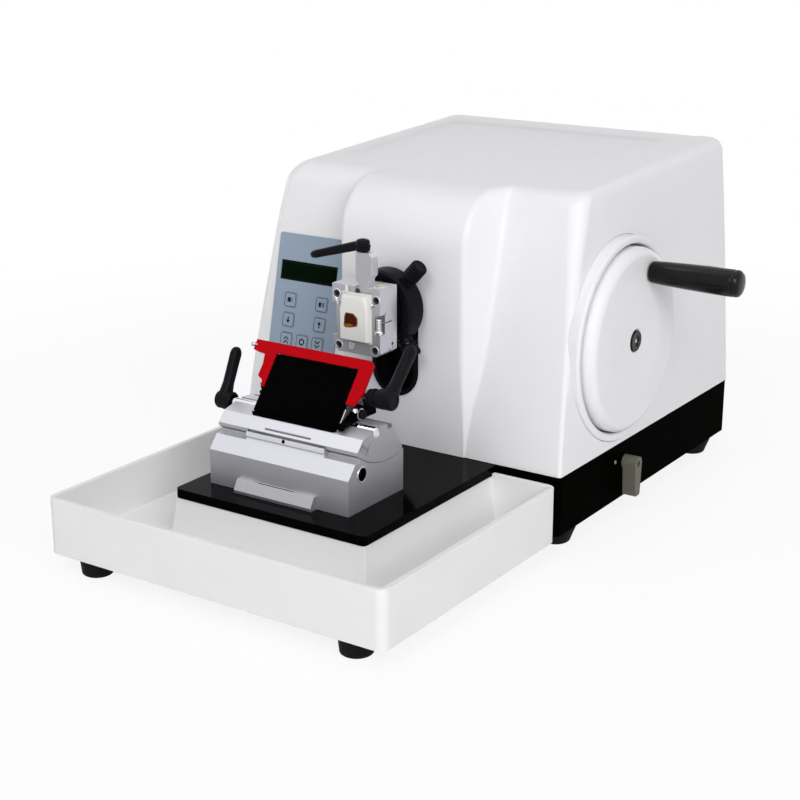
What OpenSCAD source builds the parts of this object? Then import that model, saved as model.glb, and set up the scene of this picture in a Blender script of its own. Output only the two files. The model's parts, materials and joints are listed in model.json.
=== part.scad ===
// Rotary microtome: a motorless rotary cutter for thin tissue sections, with a powered specimen
// feed. +X is the operator's right (the handwheel side), +Y the back, +Z up. The origin is the
// centre of the footprint, on the table.

/* [Base] */
// Width of the base plinth
base_w = 316.6; // [310:0.2:330]
// Depth of the base plinth
base_d = 328.6; // [320:0.2:345]
// Underside of the base plinth above the table
base_z = 16.3; // [14:0.1:20]
// Height of the base plinth
base_h = 49.9; // [47:0.1:54]
// Wall of the base plinth
base_wall = 6; // [4:0.5:8]
// Top plate of the base plinth
base_top_t = 8; // [6:0.5:10]
// Corner radius of the base plinth
base_corner = 5; // [2:0.5:8]
// Diameter of a rubber foot where it meets the base
foot_d = 34; // [28:1:36]
// Distance of the base's feet from its sides
foot_inset_x = 19; // [18.5:0.5:40]
// Distance of the base's feet from its front and back
foot_inset_y = 31; // [20:1:60]

/* [Tongue] */
// Width of the tongue plate
tongue_w = 180.3; // [176:0.1:184]
// Middle of the tongue plate, to the right of the machine's middle
tongue_x = 10.2; // [8:0.1:12]
// Reach of the tongue plate in front of the base
tongue_d = 184; // [180:1:190]
// Thickness of the tongue plate
tongue_t = 7.5; // [6:0.5:9]
// Width of the guide slot in the tongue plate
guide_slot_w = 14; // [10:0.5:18]

/* [Waste tray] */
// How much wider the waste tray is than the base, on each side
tray_side = 0.2; // [0:0.1:2]
// Depth of the waste tray
tray_d = 242; // [236:0.5:252]
// Rim of the tray above the table
tray_rim_z = 61.2; // [59.5:0.1:63]
// Lower edge of the tray above the table
tray_base_z = 15; // [13:0.5:18]
// Wall of the tray
tray_wall = 4.2; // [3:0.1:5.5]
// Corner radius of the tray
tray_corner = 8; // [6:0.5:16]
// Top of the tray's floor above the table
tray_floor_z = 22; // [20:0.5:26]
// Distance of the tray's feet from its sides
tray_foot_inset_x = 34.5; // [20:0.5:50]
// Distance of the tray's feet from its front
tray_foot_inset_y = 17; // [16:0.5:24]
// How far the tray draws forward
tray_travel = 60; // [30:1:90]

/* [Housing] */
// Top of the housing above the table, at its front edge
housing_top_z = 283.5; // [280:0.5:290]
// Rise of the top towards the back, per millimetre
top_slope = 0.05; // [0.03:0.005:0.07]
// Inward lean of the side walls, per millimetre of height
side_draft = 0.0505; // [0.03:0.0005:0.06]
// Forward lean of the back wall, per millimetre of height
back_draft = 0.03; // [0:0.005:0.05]
// Backward lean of the front panels, per millimetre of height
front_lean = 0.216; // [0.2:0.002:0.23]
// Wall of the housing
housing_wall = 3.5; // [2.5:0.1:4]
// Radius of the top edges
top_round = 18; // [14:1:22]
// Left edge of the raised middle of the front
bulge_left = -54.7; // [-57:0.1:-52]
// Right edge of the raised middle of the front
bulge_right = 69; // [66:0.5:72]
// Face of the raised middle, behind the tray's back edge
bulge_y = 3.6; // [3.2:0.1:4]
// Radius with which the raised middle runs into the top
bulge_round = 45; // [42:0.5:46]

/* [Keypad] */
// Width of the keypad panel
panel_w = 70; // [66:0.5:74]
// Height of the keypad panel along its lean
panel_h = 109; // [106:0.5:112]
// Middle of the keypad panel, to the left of the machine's middle
panel_x = -104; // [-105:0.5:-102]
// Height of the keypad panel's middle
panel_z = 171.2; // [170:0.2:173]
// Side of a key
key_w = 13; // [11:0.5:14]
// Distance between key rows
key_pitch = 17.4; // [16.5:0.1:18.5]
// Travel of a key
key_travel = 0.6; // [0.3:0.1:1]

/* [Drive] */
// Handwheel axis behind the tray's back edge
wheel_y = 110; // [108:1:112]
// Handwheel axis above the table
wheel_z = 156; // [154:1:158]
// Radius of the handwheel
wheel_r = 77; // [72:0.5:79]
// How far the handwheel's outer face stands out from the side of the base
wheel_proud = 10.7; // [9.7:0.5:12.7]
// Distance from the handwheel axis to the grip
grip_reach = 58; // [52:0.5:62]
// Angle of the grip around the handwheel at rest, from the back upwards
grip_angle = 70; // [0:5:180]
// Length of the grip
grip_l = 79; // [70:1:85]
// Diameter of the grip's outer end
grip_d = 22.4; // [20:0.2:26]
// Diameter of the crankshaft
shaft_d = 20; // [16:0.5:22]
// Vertical stroke of the specimen
stroke = 56; // [50:1:57]
// Diameter of the guide rods
rod_d = 16; // [12:0.5:18]
// Distance of each guide rod from the specimen axis
rod_reach = 31; // [30:0.5:34]

/* [Specimen head] */
// Specimen axis, to the right of the machine's middle
head_x = 2; // [1:0.2:3]
// Specimen axis above the table, at the top of the stroke
head_z = 187; // [186:0.2:188]
// Diameter of the specimen cylinder
cylinder_d = 36; // [32:0.5:37]
// Forward feed of the specimen
feed_travel = 28; // [20:1:28]
// Radius of the head disc
head_r = 31.5; // [30:0.5:32]
// Tilt of the head, each way
head_tilt = 8; // [4:1:8]
// Width of the cassette clamp
clamp_w = 46; // [44:0.5:48]
// Height of the cassette clamp
clamp_h = 55; // [53:0.5:57]
// Width of the specimen block
block_w = 27; // [24:0.5:28.5]
// Height of the specimen block
block_h = 37.5; // [34:0.5:40]

/* [Knife holder] */
// Width of the knife holder
holder_w = 132.8; // [126:0.2:136]
// Radius of the rocker, about the blade's edge
rocker_r = 66.5; // [65.5:0.1:67.5]
// Width of the pressure plate
plate_w = 77.6; // [72:0.2:79]
// Lean of the pressure plate from the horizontal
plate_lean = 52.2; // [50:0.2:54]
// Diameter of the lateral clamp rod
clamp_rod_d = 8; // [6:0.5:9]
// Running clearance of round and flat guides
fit_gap = 0.06; // [0.03:0.01:0.1]
// Gap between neighbouring moving pieces
gap = 0.4; // [0.3:0.05:0.6]

/* [Hidden] */
$fn = 48;

// Levels and edges shared by several pieces
base_top_z = base_z + base_h;
base_y = 2.8;
base_back_y = base_y + base_d;
tray_w = base_w + 2 * tray_side;
wheel_face_x = base_w / 2 + wheel_proud;
grip_end_x = wheel_face_x + 1 + grip_l;
origin_x = -(grip_end_x - tray_w / 2) / 2;
rocker_proud = 3.54;
origin_y = -(base_back_y + rocker_proud - tray_d) / 2;
housing_front_y = 4.5;
lean_low_z = base_top_z + 34;
lean_high_z = base_top_z + 174;
lean_low = 0.12;
lean_high = 0.28;
top_ref_y = 60;
crank_r = stroke / 2;

module placed() translate([origin_x, origin_y, 0]) children();
module block(x0, x1, y0, y1, z0, z1) translate([x0, y0, z0]) cube([x1 - x0, y1 - y0, z1 - z0]);
module rod_x(x0, x1, y, z, d) translate([x0, y, z]) rotate([0, 90, 0]) cylinder(h = x1 - x0, d = d);
module rod_y(y0, y1, x, z, d) translate([x, y1, z]) rotate([90, 0, 0]) cylinder(h = y1 - y0, d = d);
module rod_z(z0, z1, x, y, d) translate([x, y, z0]) cylinder(h = z1 - z0, d = d);
// A profile drawn in Y and Z, carried from x0 to x1
module along_x(x0, x1) translate([x0, 0, 0]) rotate([90, 0, 90]) linear_extrude(x1 - x0) children();
// A profile drawn in X and Z, carried from y0 to y1
module along_y(y0, y1) translate([0, y1, 0]) rotate([90, 0, 0]) linear_extrude(y1 - y0) children();
module along_z(z0, z1) translate([0, 0, z0]) linear_extrude(z1 - z0) children();

function arc(cx, cy, r, a0, a1, n) =
    [for (i = [0:n]) let (a = a0 + (a1 - a0) * i / n) [cx + r * cos(a), cy + r * sin(a)]];
function round_rect(x0, x1, y0, y1, r, n = 5) = concat(arc(x0 + r, y0 + r, r, 180, 270, n),
    arc(x1 - r, y0 + r, r, 270, 360, n), arc(x1 - r, y1 - r, r, 0, 90, n),
    arc(x0 + r, y1 - r, r, 90, 180, n));
// A stadium with its round ends one above the other
function stadium(cx, low, high, r, n = 16) =
    concat(arc(cx, low, r, 180, 360, n), arc(cx, high, r, 0, 180, n));

// ---------------------------------------------------------------- base

foot_spots = [for (x = [-1, 1], y = [base_y + foot_inset_y, base_back_y - foot_inset_y])
    [x * (base_w / 2 - foot_inset_x), y]];
tray_foot_spots = [for (x = [-1, 1]) [x * (tray_w / 2 - tray_foot_inset_x), -tray_d + tray_foot_inset_y]];
cover_t = 2;
inlet_x = -base_w / 2 + 96.3;
inlet_w = 48;
inlet_h = 28;
inlet_z = base_z + base_h / 2;
rocker_x = inlet_x + inlet_w / 2 + 18;
rocker_w = 14;
rocker_h = 21;
lock_y = 117.5;
lock_z = 47.5;
lock_shaft_d = 9;
brake_x = base_w / 2 - 41.3;
stem_d = 10;
shutter_y = 21.5;
shutter_t = 1.6;
shutter_w = 62;
tongue_screw_x = [-58, -20, 40, 78];
tongue_screw_z = base_z + 22;
cover_screw_spots = [for (x = [-1, 1], y = [0, 1])
    [x * (base_w / 2 - 60), y == 0 ? base_y + 12 : base_back_y - 12]];

module base_plinth() color("#17181a") placed() difference() {
    union() {
        difference() {
            along_z(base_z, base_top_z)
                polygon(round_rect(-base_w / 2, base_w / 2, base_y, base_back_y, base_corner));
            block(-base_w / 2 + base_wall, base_w / 2 - base_wall, base_y + base_wall,
                base_back_y - base_wall, base_z - 1, base_top_z - base_top_t);
        }
        for (p = foot_spots) rod_z(base_z + cover_t, base_top_z - base_top_t + 1, p[0], p[1], 16);
        for (p = cover_screw_spots) rod_z(base_z + cover_t, base_top_z - base_top_t + 1, p[0], p[1], 9);
        for (x = tongue_screw_x)
            rod_y(base_y + base_wall - 1, base_y + base_wall + 8, x, tongue_screw_z, 13);
        rod_x(base_w / 2 - base_wall - 8, base_w / 2 - base_wall + 1, lock_y, lock_z, 20);
    }
    // Rebate of the bottom cover
    block(-base_w / 2 + base_wall / 2, base_w / 2 - base_wall / 2, base_y + base_wall / 2,
        base_back_y - base_wall / 2, base_z - 1, base_z + cover_t);
    for (p = foot_spots) rod_z(base_z, base_z + 14, p[0], p[1], 6);
    for (p = cover_screw_spots) rod_z(base_z, base_z + 12, p[0], p[1], 3);
    for (x = tongue_screw_x) rod_y(base_y - 1, base_y + base_wall + 6, x, tongue_screw_z, 6);
    // Slot for the shutter at the bottom of the stroke
    block(head_x - shutter_w / 2 - 2, head_x + shutter_w / 2 + 2, shutter_y - 1.4,
        shutter_y + shutter_t + 1.4, base_top_z - base_top_t - 1, base_top_z + 1);
    // Bores of the pin screw, of the lock shaft and of the brake stem
    rod_x(base_w / 2 - 5, base_w / 2 + 1, lock_y - 16.6, lock_z + 3.6, 3.6);
    rod_x(base_w / 2 - base_wall - 10, base_w / 2 + 1, lock_y, lock_z, lock_shaft_d + 2 * fit_gap);
    rod_z(base_top_z - base_top_t - 1, base_top_z + 1, brake_x, lock_y, stem_d + 2 * fit_gap);
    // Openings of the power inlet and its switch in the back wall
    block(inlet_x - inlet_w / 2 + 2, inlet_x + inlet_w / 2 - 2, base_back_y - base_wall - 1,
        base_back_y + 1, inlet_z - inlet_h / 2 + 2, inlet_z + inlet_h / 2 - 2);
    block(rocker_x - rocker_w / 2, rocker_x + rocker_w / 2, base_back_y - base_wall - 1,
        base_back_y + 1, inlet_z - rocker_h / 2, inlet_z + rocker_h / 2);
    // Cable pass between the base and the housing
    block(-base_w / 2 + 33.3, -base_w / 2 + 63.3, base_back_y - 181.4, base_back_y - 161.4,
        base_top_z - base_top_t - 1, base_top_z + 1);
}

module bottom_cover() color("#3a3b3d") placed() difference() {
    block(-base_w / 2 + base_wall / 2 + 0.2, base_w / 2 - base_wall / 2 - 0.2,
        base_y + base_wall / 2 + 0.2, base_back_y - base_wall / 2 - 0.2, base_z, base_z + cover_t);
    for (p = foot_spots) rod_z(base_z - 1, base_z + cover_t + 1, p[0], p[1], 6.4);
    for (p = cover_screw_spots) rod_z(base_z - 1, base_z + cover_t + 1, p[0], p[1], 3.4);
    for (i = [0:9]) block(base_w / 2 - 98.3 + i * 8, base_w / 2 - 94.3 + i * 8, base_back_y - 151.4,
        base_back_y - 91.4, base_z - 1, base_z + cover_t + 1);
}

// A tapered rubber foot, hollow under its screw, with its screw's shank in the base
module foot(p, top_z, shank) translate([p[0], p[1], 0]) {
    rotate_extrude() polygon([[0, 4], [4, 4], [4, 0], [foot_d / 2 - 6, 0], [foot_d / 2 - 4.6, 1.2],
        [foot_d / 2, top_z - 3], [foot_d / 2, top_z], [shank / 2, top_z], [shank / 2, top_z + 11],
        [0, top_z + 11]]);
}
module base_feet() color("#101010") placed() for (p = foot_spots) foot(p, base_z, 5.6);
module tray_feet() color("#101010") placed() for (p = tray_foot_spots)
    translate([p[0], p[1], 0]) rotate_extrude() polygon([[0, 3], [4, 3], [4, 0],
        [11, 0], [12.4, 1.2], [14, tray_floor_z - tray_wall - 2], [14, tray_floor_z - tray_wall],
        [0, tray_floor_z - tray_wall]]);

// Countersunk screws of the bottom cover, socket screws of the tongue, and the pin screw beside the lock
module base_screws() color("#8d8f92") placed() {
    for (p = cover_screw_spots) translate([p[0], p[1], base_z - 1.2]) rotate_extrude()
        polygon([[0, 0.6], [1, 0.6], [1, 0], [2.8, 0], [2.8, 1.2], [1.4, 1.2], [1.4, 11], [0, 11]]);
    for (x = tongue_screw_x) translate([x, base_y - tongue_flange_t - 5, tongue_screw_z]) rotate([-90, 0, 0])
        difference() {
            rotate_extrude() polygon([[0, 0], [4.8, 0], [4.8, 5], [2.9, 5], [2.9, 24], [0, 24]]);
            translate([0, 0, -1]) cylinder(h = 4, r = 2.6, $fn = 6);
        }
    translate([base_w / 2 - 5, lock_y - 16.6, lock_z + 3.6]) rotate([0, 90, 0]) difference() {
        cylinder(h = 5.4, d = 3.6);
        translate([0, 0, 4]) cylinder(h = 2, r = 1, $fn = 6);
    }
}

tongue_flange_t = 8;
rib_x = [-45, 27, 66];
tongue_left = tongue_x - tongue_w / 2;
tongue_right = tongue_x + tongue_w / 2;
nut_w = 26;
nut_t = 3;
guide_slot_y0 = -158;
guide_slot_y1 = -60;

module tongue_plate() color("#121314") placed() difference() {
    union() {
        along_z(base_top_z - tongue_t, base_top_z) polygon(concat(
            arc(tongue_left + 4, base_y - tongue_d + 4, 4, 180, 270, 5),
            arc(tongue_right - 4, base_y - tongue_d + 4, 4, 270, 360, 5),
            [[tongue_right, base_y], [tongue_left, base_y]]));
        block(tongue_left + 8, tongue_right - 8, base_y - tongue_flange_t, base_y, base_z + 9,
            base_top_z - tongue_t + 1);
        for (x = rib_x) along_x(x - 4, x + 4) polygon([[base_y - 1, base_z + 9],
            [base_y - tongue_flange_t - 4, base_z + 9], [base_y - tongue_d + 16, base_top_z - tongue_t - 9],
            [base_y - tongue_d + 16, base_top_z - tongue_t + 1], [base_y - 1, base_top_z - tongue_t + 1]]);
    }
    block(head_x - guide_slot_w / 2, head_x + guide_slot_w / 2, guide_slot_y0, guide_slot_y1,
        base_z, base_top_z + 1);
    block(head_x - nut_w / 2, head_x + nut_w / 2, guide_slot_y0, guide_slot_y1, base_z,
        base_top_z - tongue_t + nut_t + gap);
    for (x = tongue_screw_x) rod_y(base_y - tongue_flange_t - 1, base_y + 1, x, tongue_screw_z, 6.4);
}

// ---------------------------------------------------------------- waste tray

island_left = tongue_left + 0.8;
island_right = tongue_right - 0.8;
island_front = base_y - tongue_d + 0.8;
island_top_z = base_top_z - tongue_t - gap;
island_wall = 3;

// A box with leaning walls: its outline at the bottom is larger by spread than at the top
module leaning_box(x0, x1, y0, y1, z0, z1, spread, open_back) {
    y_back = open_back ? y1 + spread : y1;
    polyhedron(points = [[x0 - spread, y0 - spread, z0], [x1 + spread, y0 - spread, z0],
        [x1 + spread, y_back, z0], [x0 - spread, y_back, z0], [x0, y0, z1], [x1, y0, z1],
        [x1, y_back, z1], [x0, y_back, z1]],
        faces = [[0, 1, 2, 3], [4, 7, 6, 5], [0, 4, 5, 1], [1, 5, 6, 2], [2, 6, 7, 3], [3, 7, 4, 0]]);
}

module waste_tray() color("#f3f3f1") placed() difference() {
    union() {
        difference() {
            along_z(tray_base_z, tray_rim_z)
                polygon(round_rect(-tray_w / 2, tray_w / 2, -tray_d, 0, tray_corner));
            along_z(tray_floor_z, tray_rim_z + 1) polygon(round_rect(-tray_w / 2 + tray_wall,
                tray_w / 2 - tray_wall, -tray_d + tray_wall, -tray_wall, tray_corner - tray_wall));
            along_z(tray_base_z - 1, tray_floor_z - tray_wall) polygon(round_rect(
                -tray_w / 2 + tray_wall, tray_w / 2 - tray_wall, -tray_d + tray_wall, -tray_wall,
                tray_corner - tray_wall));
        }
        leaning_box(island_left, island_right, island_front, -0.01, tray_floor_z - 1, island_top_z, 5,
            false);
        // Buttons that meet the base
        for (x = [-1, 1]) rod_y(-1, base_y - gap, x * (tray_w / 2 - 30), 44, 12);
    }
    // The island is a wall with the tongue's ribs inside it, so it is open below, above and behind
    leaning_box(island_left + island_wall, island_right - island_wall, island_front + island_wall, 1,
        tray_base_z - 1, island_top_z + 1, 5, false);
    block(island_left + island_wall, island_right - island_wall, -tray_wall - 1, 1, island_top_z - 1,
        tray_rim_z + 1);
    // The tongue's way through the back wall
    block(tongue_left - gap, tongue_right + gap, -tray_wall - 1, 1, island_top_z, tray_rim_z + 1);
    for (p = tray_foot_spots) rod_z(tray_base_z - 1, tray_floor_z - tray_wall, p[0], p[1], 28.4);
}

// ---------------------------------------------------------------- housing

// Y of the front panels, half width, and Y of the back wall, at a height
function front_y(z) = housing_front_y + lean_low * (min(z, lean_low_z) - base_top_z)
    + front_lean * (max(min(z, lean_high_z), lean_low_z) - lean_low_z)
    + lean_high * max(0, z - lean_high_z);
function half_w(z) = base_w / 2 - side_draft * (z - base_top_z);
function back_y(z) = base_back_y - back_draft * (z - base_top_z);
bulge_round_z = housing_top_z - bulge_round;
function bulge_face_y(z) = bulge_y + bulge_round
    - sqrt(pow(bulge_round, 2) - pow(min(max(z - bulge_round_z, 0), bulge_round - 0.1), 2));
function corner_r(z) = 3 + 11 * pow((z - base_top_z) / 200, 2);

// One outline of the housing, seen from above: height z, drawn in by inset for the rounded top edge
// and by skin for the inner face
function housing_outline(z, inset, skin) =
    let (
        w = half_w(z) - inset - skin,
        yf = front_y(z) + inset + skin,
        depth = max(0.8, front_y(z) + inset - bulge_face_y(z)),
        yb = yf - depth,
        back = back_y(z) - inset - skin,
        rc = max(2, corner_r(z) - inset / 2 - skin),
        left = bulge_left + skin,
        right = bulge_right - skin,
        rv = min(6, 0.4 * depth),
        rf = min(5, 0.4 * depth),
        run = min(12.5, 0.8 * depth),
        len = norm([run, depth]),
        t = [run, depth] / len,
        n = [t[1], -t[0]],
        tilt = atan2(-run, depth),
        p1 = [right - rv, yb + rv] + rv * n,
        s = (yf - rf - rf * n[1] - p1[1]) / t[1],
        c2 = p1 + s * t + rf * n
    )
    concat(
        arc(-w + rc, yf + rc, rc, 180, 270, outline_steps[0]),
        arc(left - rf, yf - rf, rf, 90, 0, outline_steps[1]),
        arc(left + rv, yb + rv, rv, 180, 270, outline_steps[2]),
        arc(right - rv, yb + rv, rv, 270, 360 + tilt, outline_steps[3]),
        arc(c2[0], c2[1], rf, 180 + tilt, 90, outline_steps[4]),
        arc(w - rc, yf + rc, rc, 270, 360, outline_steps[5]),
        arc(w - rc, back - rc, rc, 0, 90, outline_steps[6]),
        arc(-w + rc, back - rc, rc, 90, 180, outline_steps[7]));

lid_drop = 1.2;
crisp_round = 8;
outline_steps = [5, 3, 4, 3, 3, 5, 5, 5];
top_rounds = [[top_round, top_round], [top_round, 14], [10, crisp_round], [crisp_round, crisp_round],
    [crisp_round, 12], [12, crisp_round], [crisp_round, top_round + 2], [top_round + 2, top_round]];
point_rounds = [for (s = [0:7], i = [0:outline_steps[s]])
    top_rounds[s][0] + (top_rounds[s][1] - top_rounds[s][0]) * i / outline_steps[s]];
// Each ring is a share of the straight height and an angle of the round above it
ring_phases = concat([for (u = [0, 0.17, 0.34, 0.52, 0.68, 0.79, 0.87, 0.94, 1]) [u, 0]],
    [for (a = [18, 36, 54, 72, 90]) [1, a]]);

function skin_rings(skin) = [for (p = ring_phases) [for (i = [0:len(point_rounds) - 1])
    let (r = point_rounds[i], straight = housing_top_z - r - base_top_z,
        z = base_top_z + p[0] * straight + (r - skin) * sin(p[1]),
        q = housing_outline(z, (r - skin) * (1 - cos(p[1])), skin)[i],
        u = (z - base_top_z) / (housing_top_z - base_top_z))
    [q[0], q[1], z + u * top_slope * (q[1] - top_ref_y)]]];

module ring_shell(outer, inner) {
    n = len(outer[0]);
    k = len(outer);
    points = concat([for (r = outer) each r], [for (r = inner) each r]);
    base = n * k;
    polyhedron(points = points, faces = concat(
        [for (j = [0:k - 2], i = [0:n - 1]) let (i2 = (i + 1) % n, a = j * n, b = a + n)
            each [[a + i, b + i, b + i2], [a + i, b + i2, a + i2]]],
        [[for (i = [0:n - 1]) (k - 1) * n + n - 1 - i]],
        [for (j = [0:k - 2], i = [0:n - 1]) let (i2 = (i + 1) % n, a = base + j * n, b = a + n)
            each [[a + i, b + i2, b + i], [a + i, a + i2, b + i2]]],
        [[for (i = [0:n - 1]) base + (k - 1) * n + i]],
        [for (i = [0:n - 1]) let (i2 = (i + 1) % n)
            each [[i, i2, base + i2], [i, base + i2, base + i]]]), convexity = 10);
}

slot_low_z = head_z - stroke - 0.3;
slot_high_z = head_z + 0.3;
slot_r = 20.6;
recess_r = wheel_r + 5.2;
panel_y = front_y(panel_z);
panel_lean = atan(front_lean);
// The keypad's own frame: +X right, +Y up along the panel, +Z out of the front
module on_panel() translate([panel_x, panel_y, panel_z]) rotate([90 - panel_lean, 0, 0]) children();

module housing_shell() color("#f4f4f3") placed() difference() {
    ring_shell(skin_rings(0), skin_rings(housing_wall));
    along_y(-1, bulge_y + housing_wall + 4) polygon(stadium(head_x, slot_low_z, slot_high_z, slot_r));
    translate([base_w / 2 - 30, wheel_y, wheel_z]) rotate([0, 90, 0])
        cylinder(h = 35, r = recess_r + 4, $fn = 96);
    on_panel() translate([-panel_w / 2 + 3, -panel_h / 2 + 3, -12]) cube([panel_w - 6, panel_h - 6, 20]);
    translate([0, top_ref_y, housing_top_z]) rotate([atan(top_slope), 0, 0])
        translate([-base_w / 2 + 40.3, 38, -lid_drop]) cube([base_w - 86.6, base_d - 146.6, 10]);
}

// A dished ring that lines the handwheel's hole in the side wall
recess_back_x = base_w / 2 - 15.3;
module wheel_recess() color("#f4f4f3") placed() translate([0, wheel_y, wheel_z]) rotate([0, 90, 0])
    rotate_extrude($fn = 96) polygon(concat([[15, recess_back_x], [recess_r, recess_back_x],
        [recess_r + 3.6, recess_back_x + 3]],
        arc(recess_r + 1.4, base_w / 2 - 0.4, 2.2, 0, 90, 4),
        arc(recess_r - 0.2, base_w / 2 - 1.2, 3, 90, 170, 4),
        [[recess_r - 3.4, recess_back_x + 4.5], [recess_r - 5, recess_back_x + 2.4],
            [15, recess_back_x + 2.4]]));

module slot_bezel() color("#141516") placed() difference() {
    union() {
        along_y(bulge_y - 1.4, bulge_y) polygon(stadium(head_x, slot_low_z, slot_high_z, slot_r + 2));
        along_y(bulge_y - 0.5, shutter_y - 0.6) polygon(stadium(head_x, slot_low_z, slot_high_z,
            slot_r - 0.1));
    }
    along_y(bulge_y - 3, shutter_y + 1) polygon(stadium(head_x, slot_low_z, slot_high_z,
        slot_r - 1.6));
}

// ---------------------------------------------------------------- keypad and electrics

panel_t = 1.4;
display_w = 60;
display_h = 17;
display_y = 22.4;
key_left = -16.6;
key_right = 17;
row_1 = -2.9;
keys = [[key_left, row_1], [key_right, row_1], [key_left, row_1 - key_pitch],
    [key_right, row_1 - key_pitch], [key_left, row_1 - 2 * key_pitch], [0.4, row_1 - 2 * key_pitch],
    [key_right, row_1 - 2 * key_pitch]];
board_depth = 11;

module keypad_panel() color("#a9bccb") placed() on_panel() difference() {
    union() {
        linear_extrude(panel_t) polygon(round_rect(-panel_w / 2, panel_w / 2, -panel_h / 2, panel_h / 2, 2));
        translate([0, 0, -3]) linear_extrude(3.5) polygon(round_rect(-panel_w / 2 + 3.2,
            panel_w / 2 - 3.2, -panel_h / 2 + 3.2, panel_h / 2 - 3.2, 1));
    }
    for (k = keys) translate([k[0], k[1], -4]) linear_extrude(8)
        polygon(round_rect(-key_w / 2, key_w / 2, -key_w / 2, key_w / 2, 2));
    translate([-display_w / 2 - 0.4, display_y - display_h / 2, -4]) cube([display_w, display_h, 8]);
}

module display_window() color("#10160c") placed() on_panel()
    translate([-display_w / 2 - 0.3, display_y - display_h / 2 + 0.1, -2.6])
    cube([display_w - 0.2, display_h - 0.2, panel_t + 2.2]);

module key(i) color("#a9bccb") placed() on_panel() translate([keys[i][0], keys[i][1], 0]) {
    translate([0, 0, -2.4]) linear_extrude(panel_t + 2.9)
        polygon(round_rect(-key_w / 2 + 0.15, key_w / 2 - 0.15, -key_w / 2 + 0.15, key_w / 2 - 0.15, 1.8));
    translate([0, 0, -6.2]) cylinder(h = 4, d = 5);
}
module section_key() key(0);
module trim_key() key(1);
module down_key() key(2);
module up_key() key(3);
module fast_up_key() key(4);
module home_key() key(5);
module fast_down_key() key(6);

// The board behind the keypad, with the display module, a dome switch under each key and four studs
module control_board() color("#1f5a37") placed() on_panel() {
    translate([-panel_w / 2 + 4, -panel_h / 2 + 4, -board_depth]) cube([panel_w - 8, panel_h - 8, 1.6]);
    translate([-display_w / 2 - 1, display_y - display_h / 2 - 2, -board_depth + 1])
        cube([display_w + 2, display_h + 4, 7]);
    for (k = keys) translate([k[0], k[1], -board_depth + 1]) cylinder(h = 2.9, d = 6);
    for (x = [-1, 1], y = [-1, 1]) translate([x * (panel_w / 2 - 7), y * (panel_h / 2 - 7), -board_depth + 1])
        cylinder(h = board_depth - 4, d = 5);
    translate([-12, -panel_h / 2 + 8, -board_depth - 7]) cube([24, 8, 8]);
}

supply_w = 100;
supply_h = 30;
supply_x = -base_w / 2 + 20.3;
supply_y = base_back_y - 141.4;
module power_supply() color("#b9bcbf") placed() difference() {
    block(supply_x, supply_x + supply_w, supply_y, supply_y + supply_w, base_z + cover_t,
        base_z + cover_t + supply_h);
    block(supply_x + 1.5, supply_x + supply_w - 1.5, supply_y + 1.5, supply_y + supply_w - 1.5,
        base_z + cover_t + 1.5, base_z + cover_t + supply_h - 1.5);
    for (i = [0:7]) block(supply_x + 8 + i * supply_w * 0.11, supply_x + 13 + i * supply_w * 0.11,
        supply_y + 10, supply_y + supply_w - 10, base_z + cover_t + supply_h - 3,
        base_z + cover_t + supply_h + 1);
}

module power_inlet() color("#1b1b1c") placed() difference() {
    union() {
        along_y(base_back_y, base_back_y + 2.4) polygon(round_rect(inlet_x - inlet_w / 2 - 3,
            inlet_x + inlet_w / 2 + 3, inlet_z - inlet_h / 2 - 2, inlet_z + inlet_h / 2 + 2, 3));
        block(inlet_x - inlet_w / 2 + 2.2, inlet_x + inlet_w / 2 - 2.2, base_back_y - 24, base_back_y + 1,
            inlet_z - inlet_h / 2 + 2.2, inlet_z + inlet_h / 2 - 2.2);
    }
    along_y(base_back_y - 17, base_back_y + 4) polygon([[inlet_x - 12.5, inlet_z - 8.5],
        [inlet_x + 12.5, inlet_z - 8.5], [inlet_x + 12.5, inlet_z + 3], [inlet_x + 7, inlet_z + 8.5],
        [inlet_x - 7, inlet_z + 8.5], [inlet_x - 12.5, inlet_z + 3]]);
}

rocker_axis_y = base_back_y - 4;
rocker_throw = 7;
module power_rocker() color("#1b1b1c") placed() translate([0, rocker_axis_y, inlet_z]) difference() {
    along_x(rocker_x - rocker_w / 2 + 0.3, rocker_x + rocker_w / 2 - 0.3) rotate(-rocker_throw) polygon([
        [-6, -3], [4, -rocker_h / 2 + 1.4], [6.5, -rocker_h / 2 + 1.6], [4.6, 0],
        [6.5, rocker_h / 2 - 1.6], [4, rocker_h / 2 - 1.4], [-6, 3]]);
    rod_x(rocker_x - rocker_w, rocker_x + rocker_w, 0, 0, 2.4);
}

// ---------------------------------------------------------------- frame and drive

rail_y = 62;
bearing_d = 42;
bearing_w = 12;
bearing_x = [base_w / 2 - 65.3, base_w / 2 - 31.3];
upright_t = 14;
foot_t = 12;
bridge_z = 254;
drum_r = 30;

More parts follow.
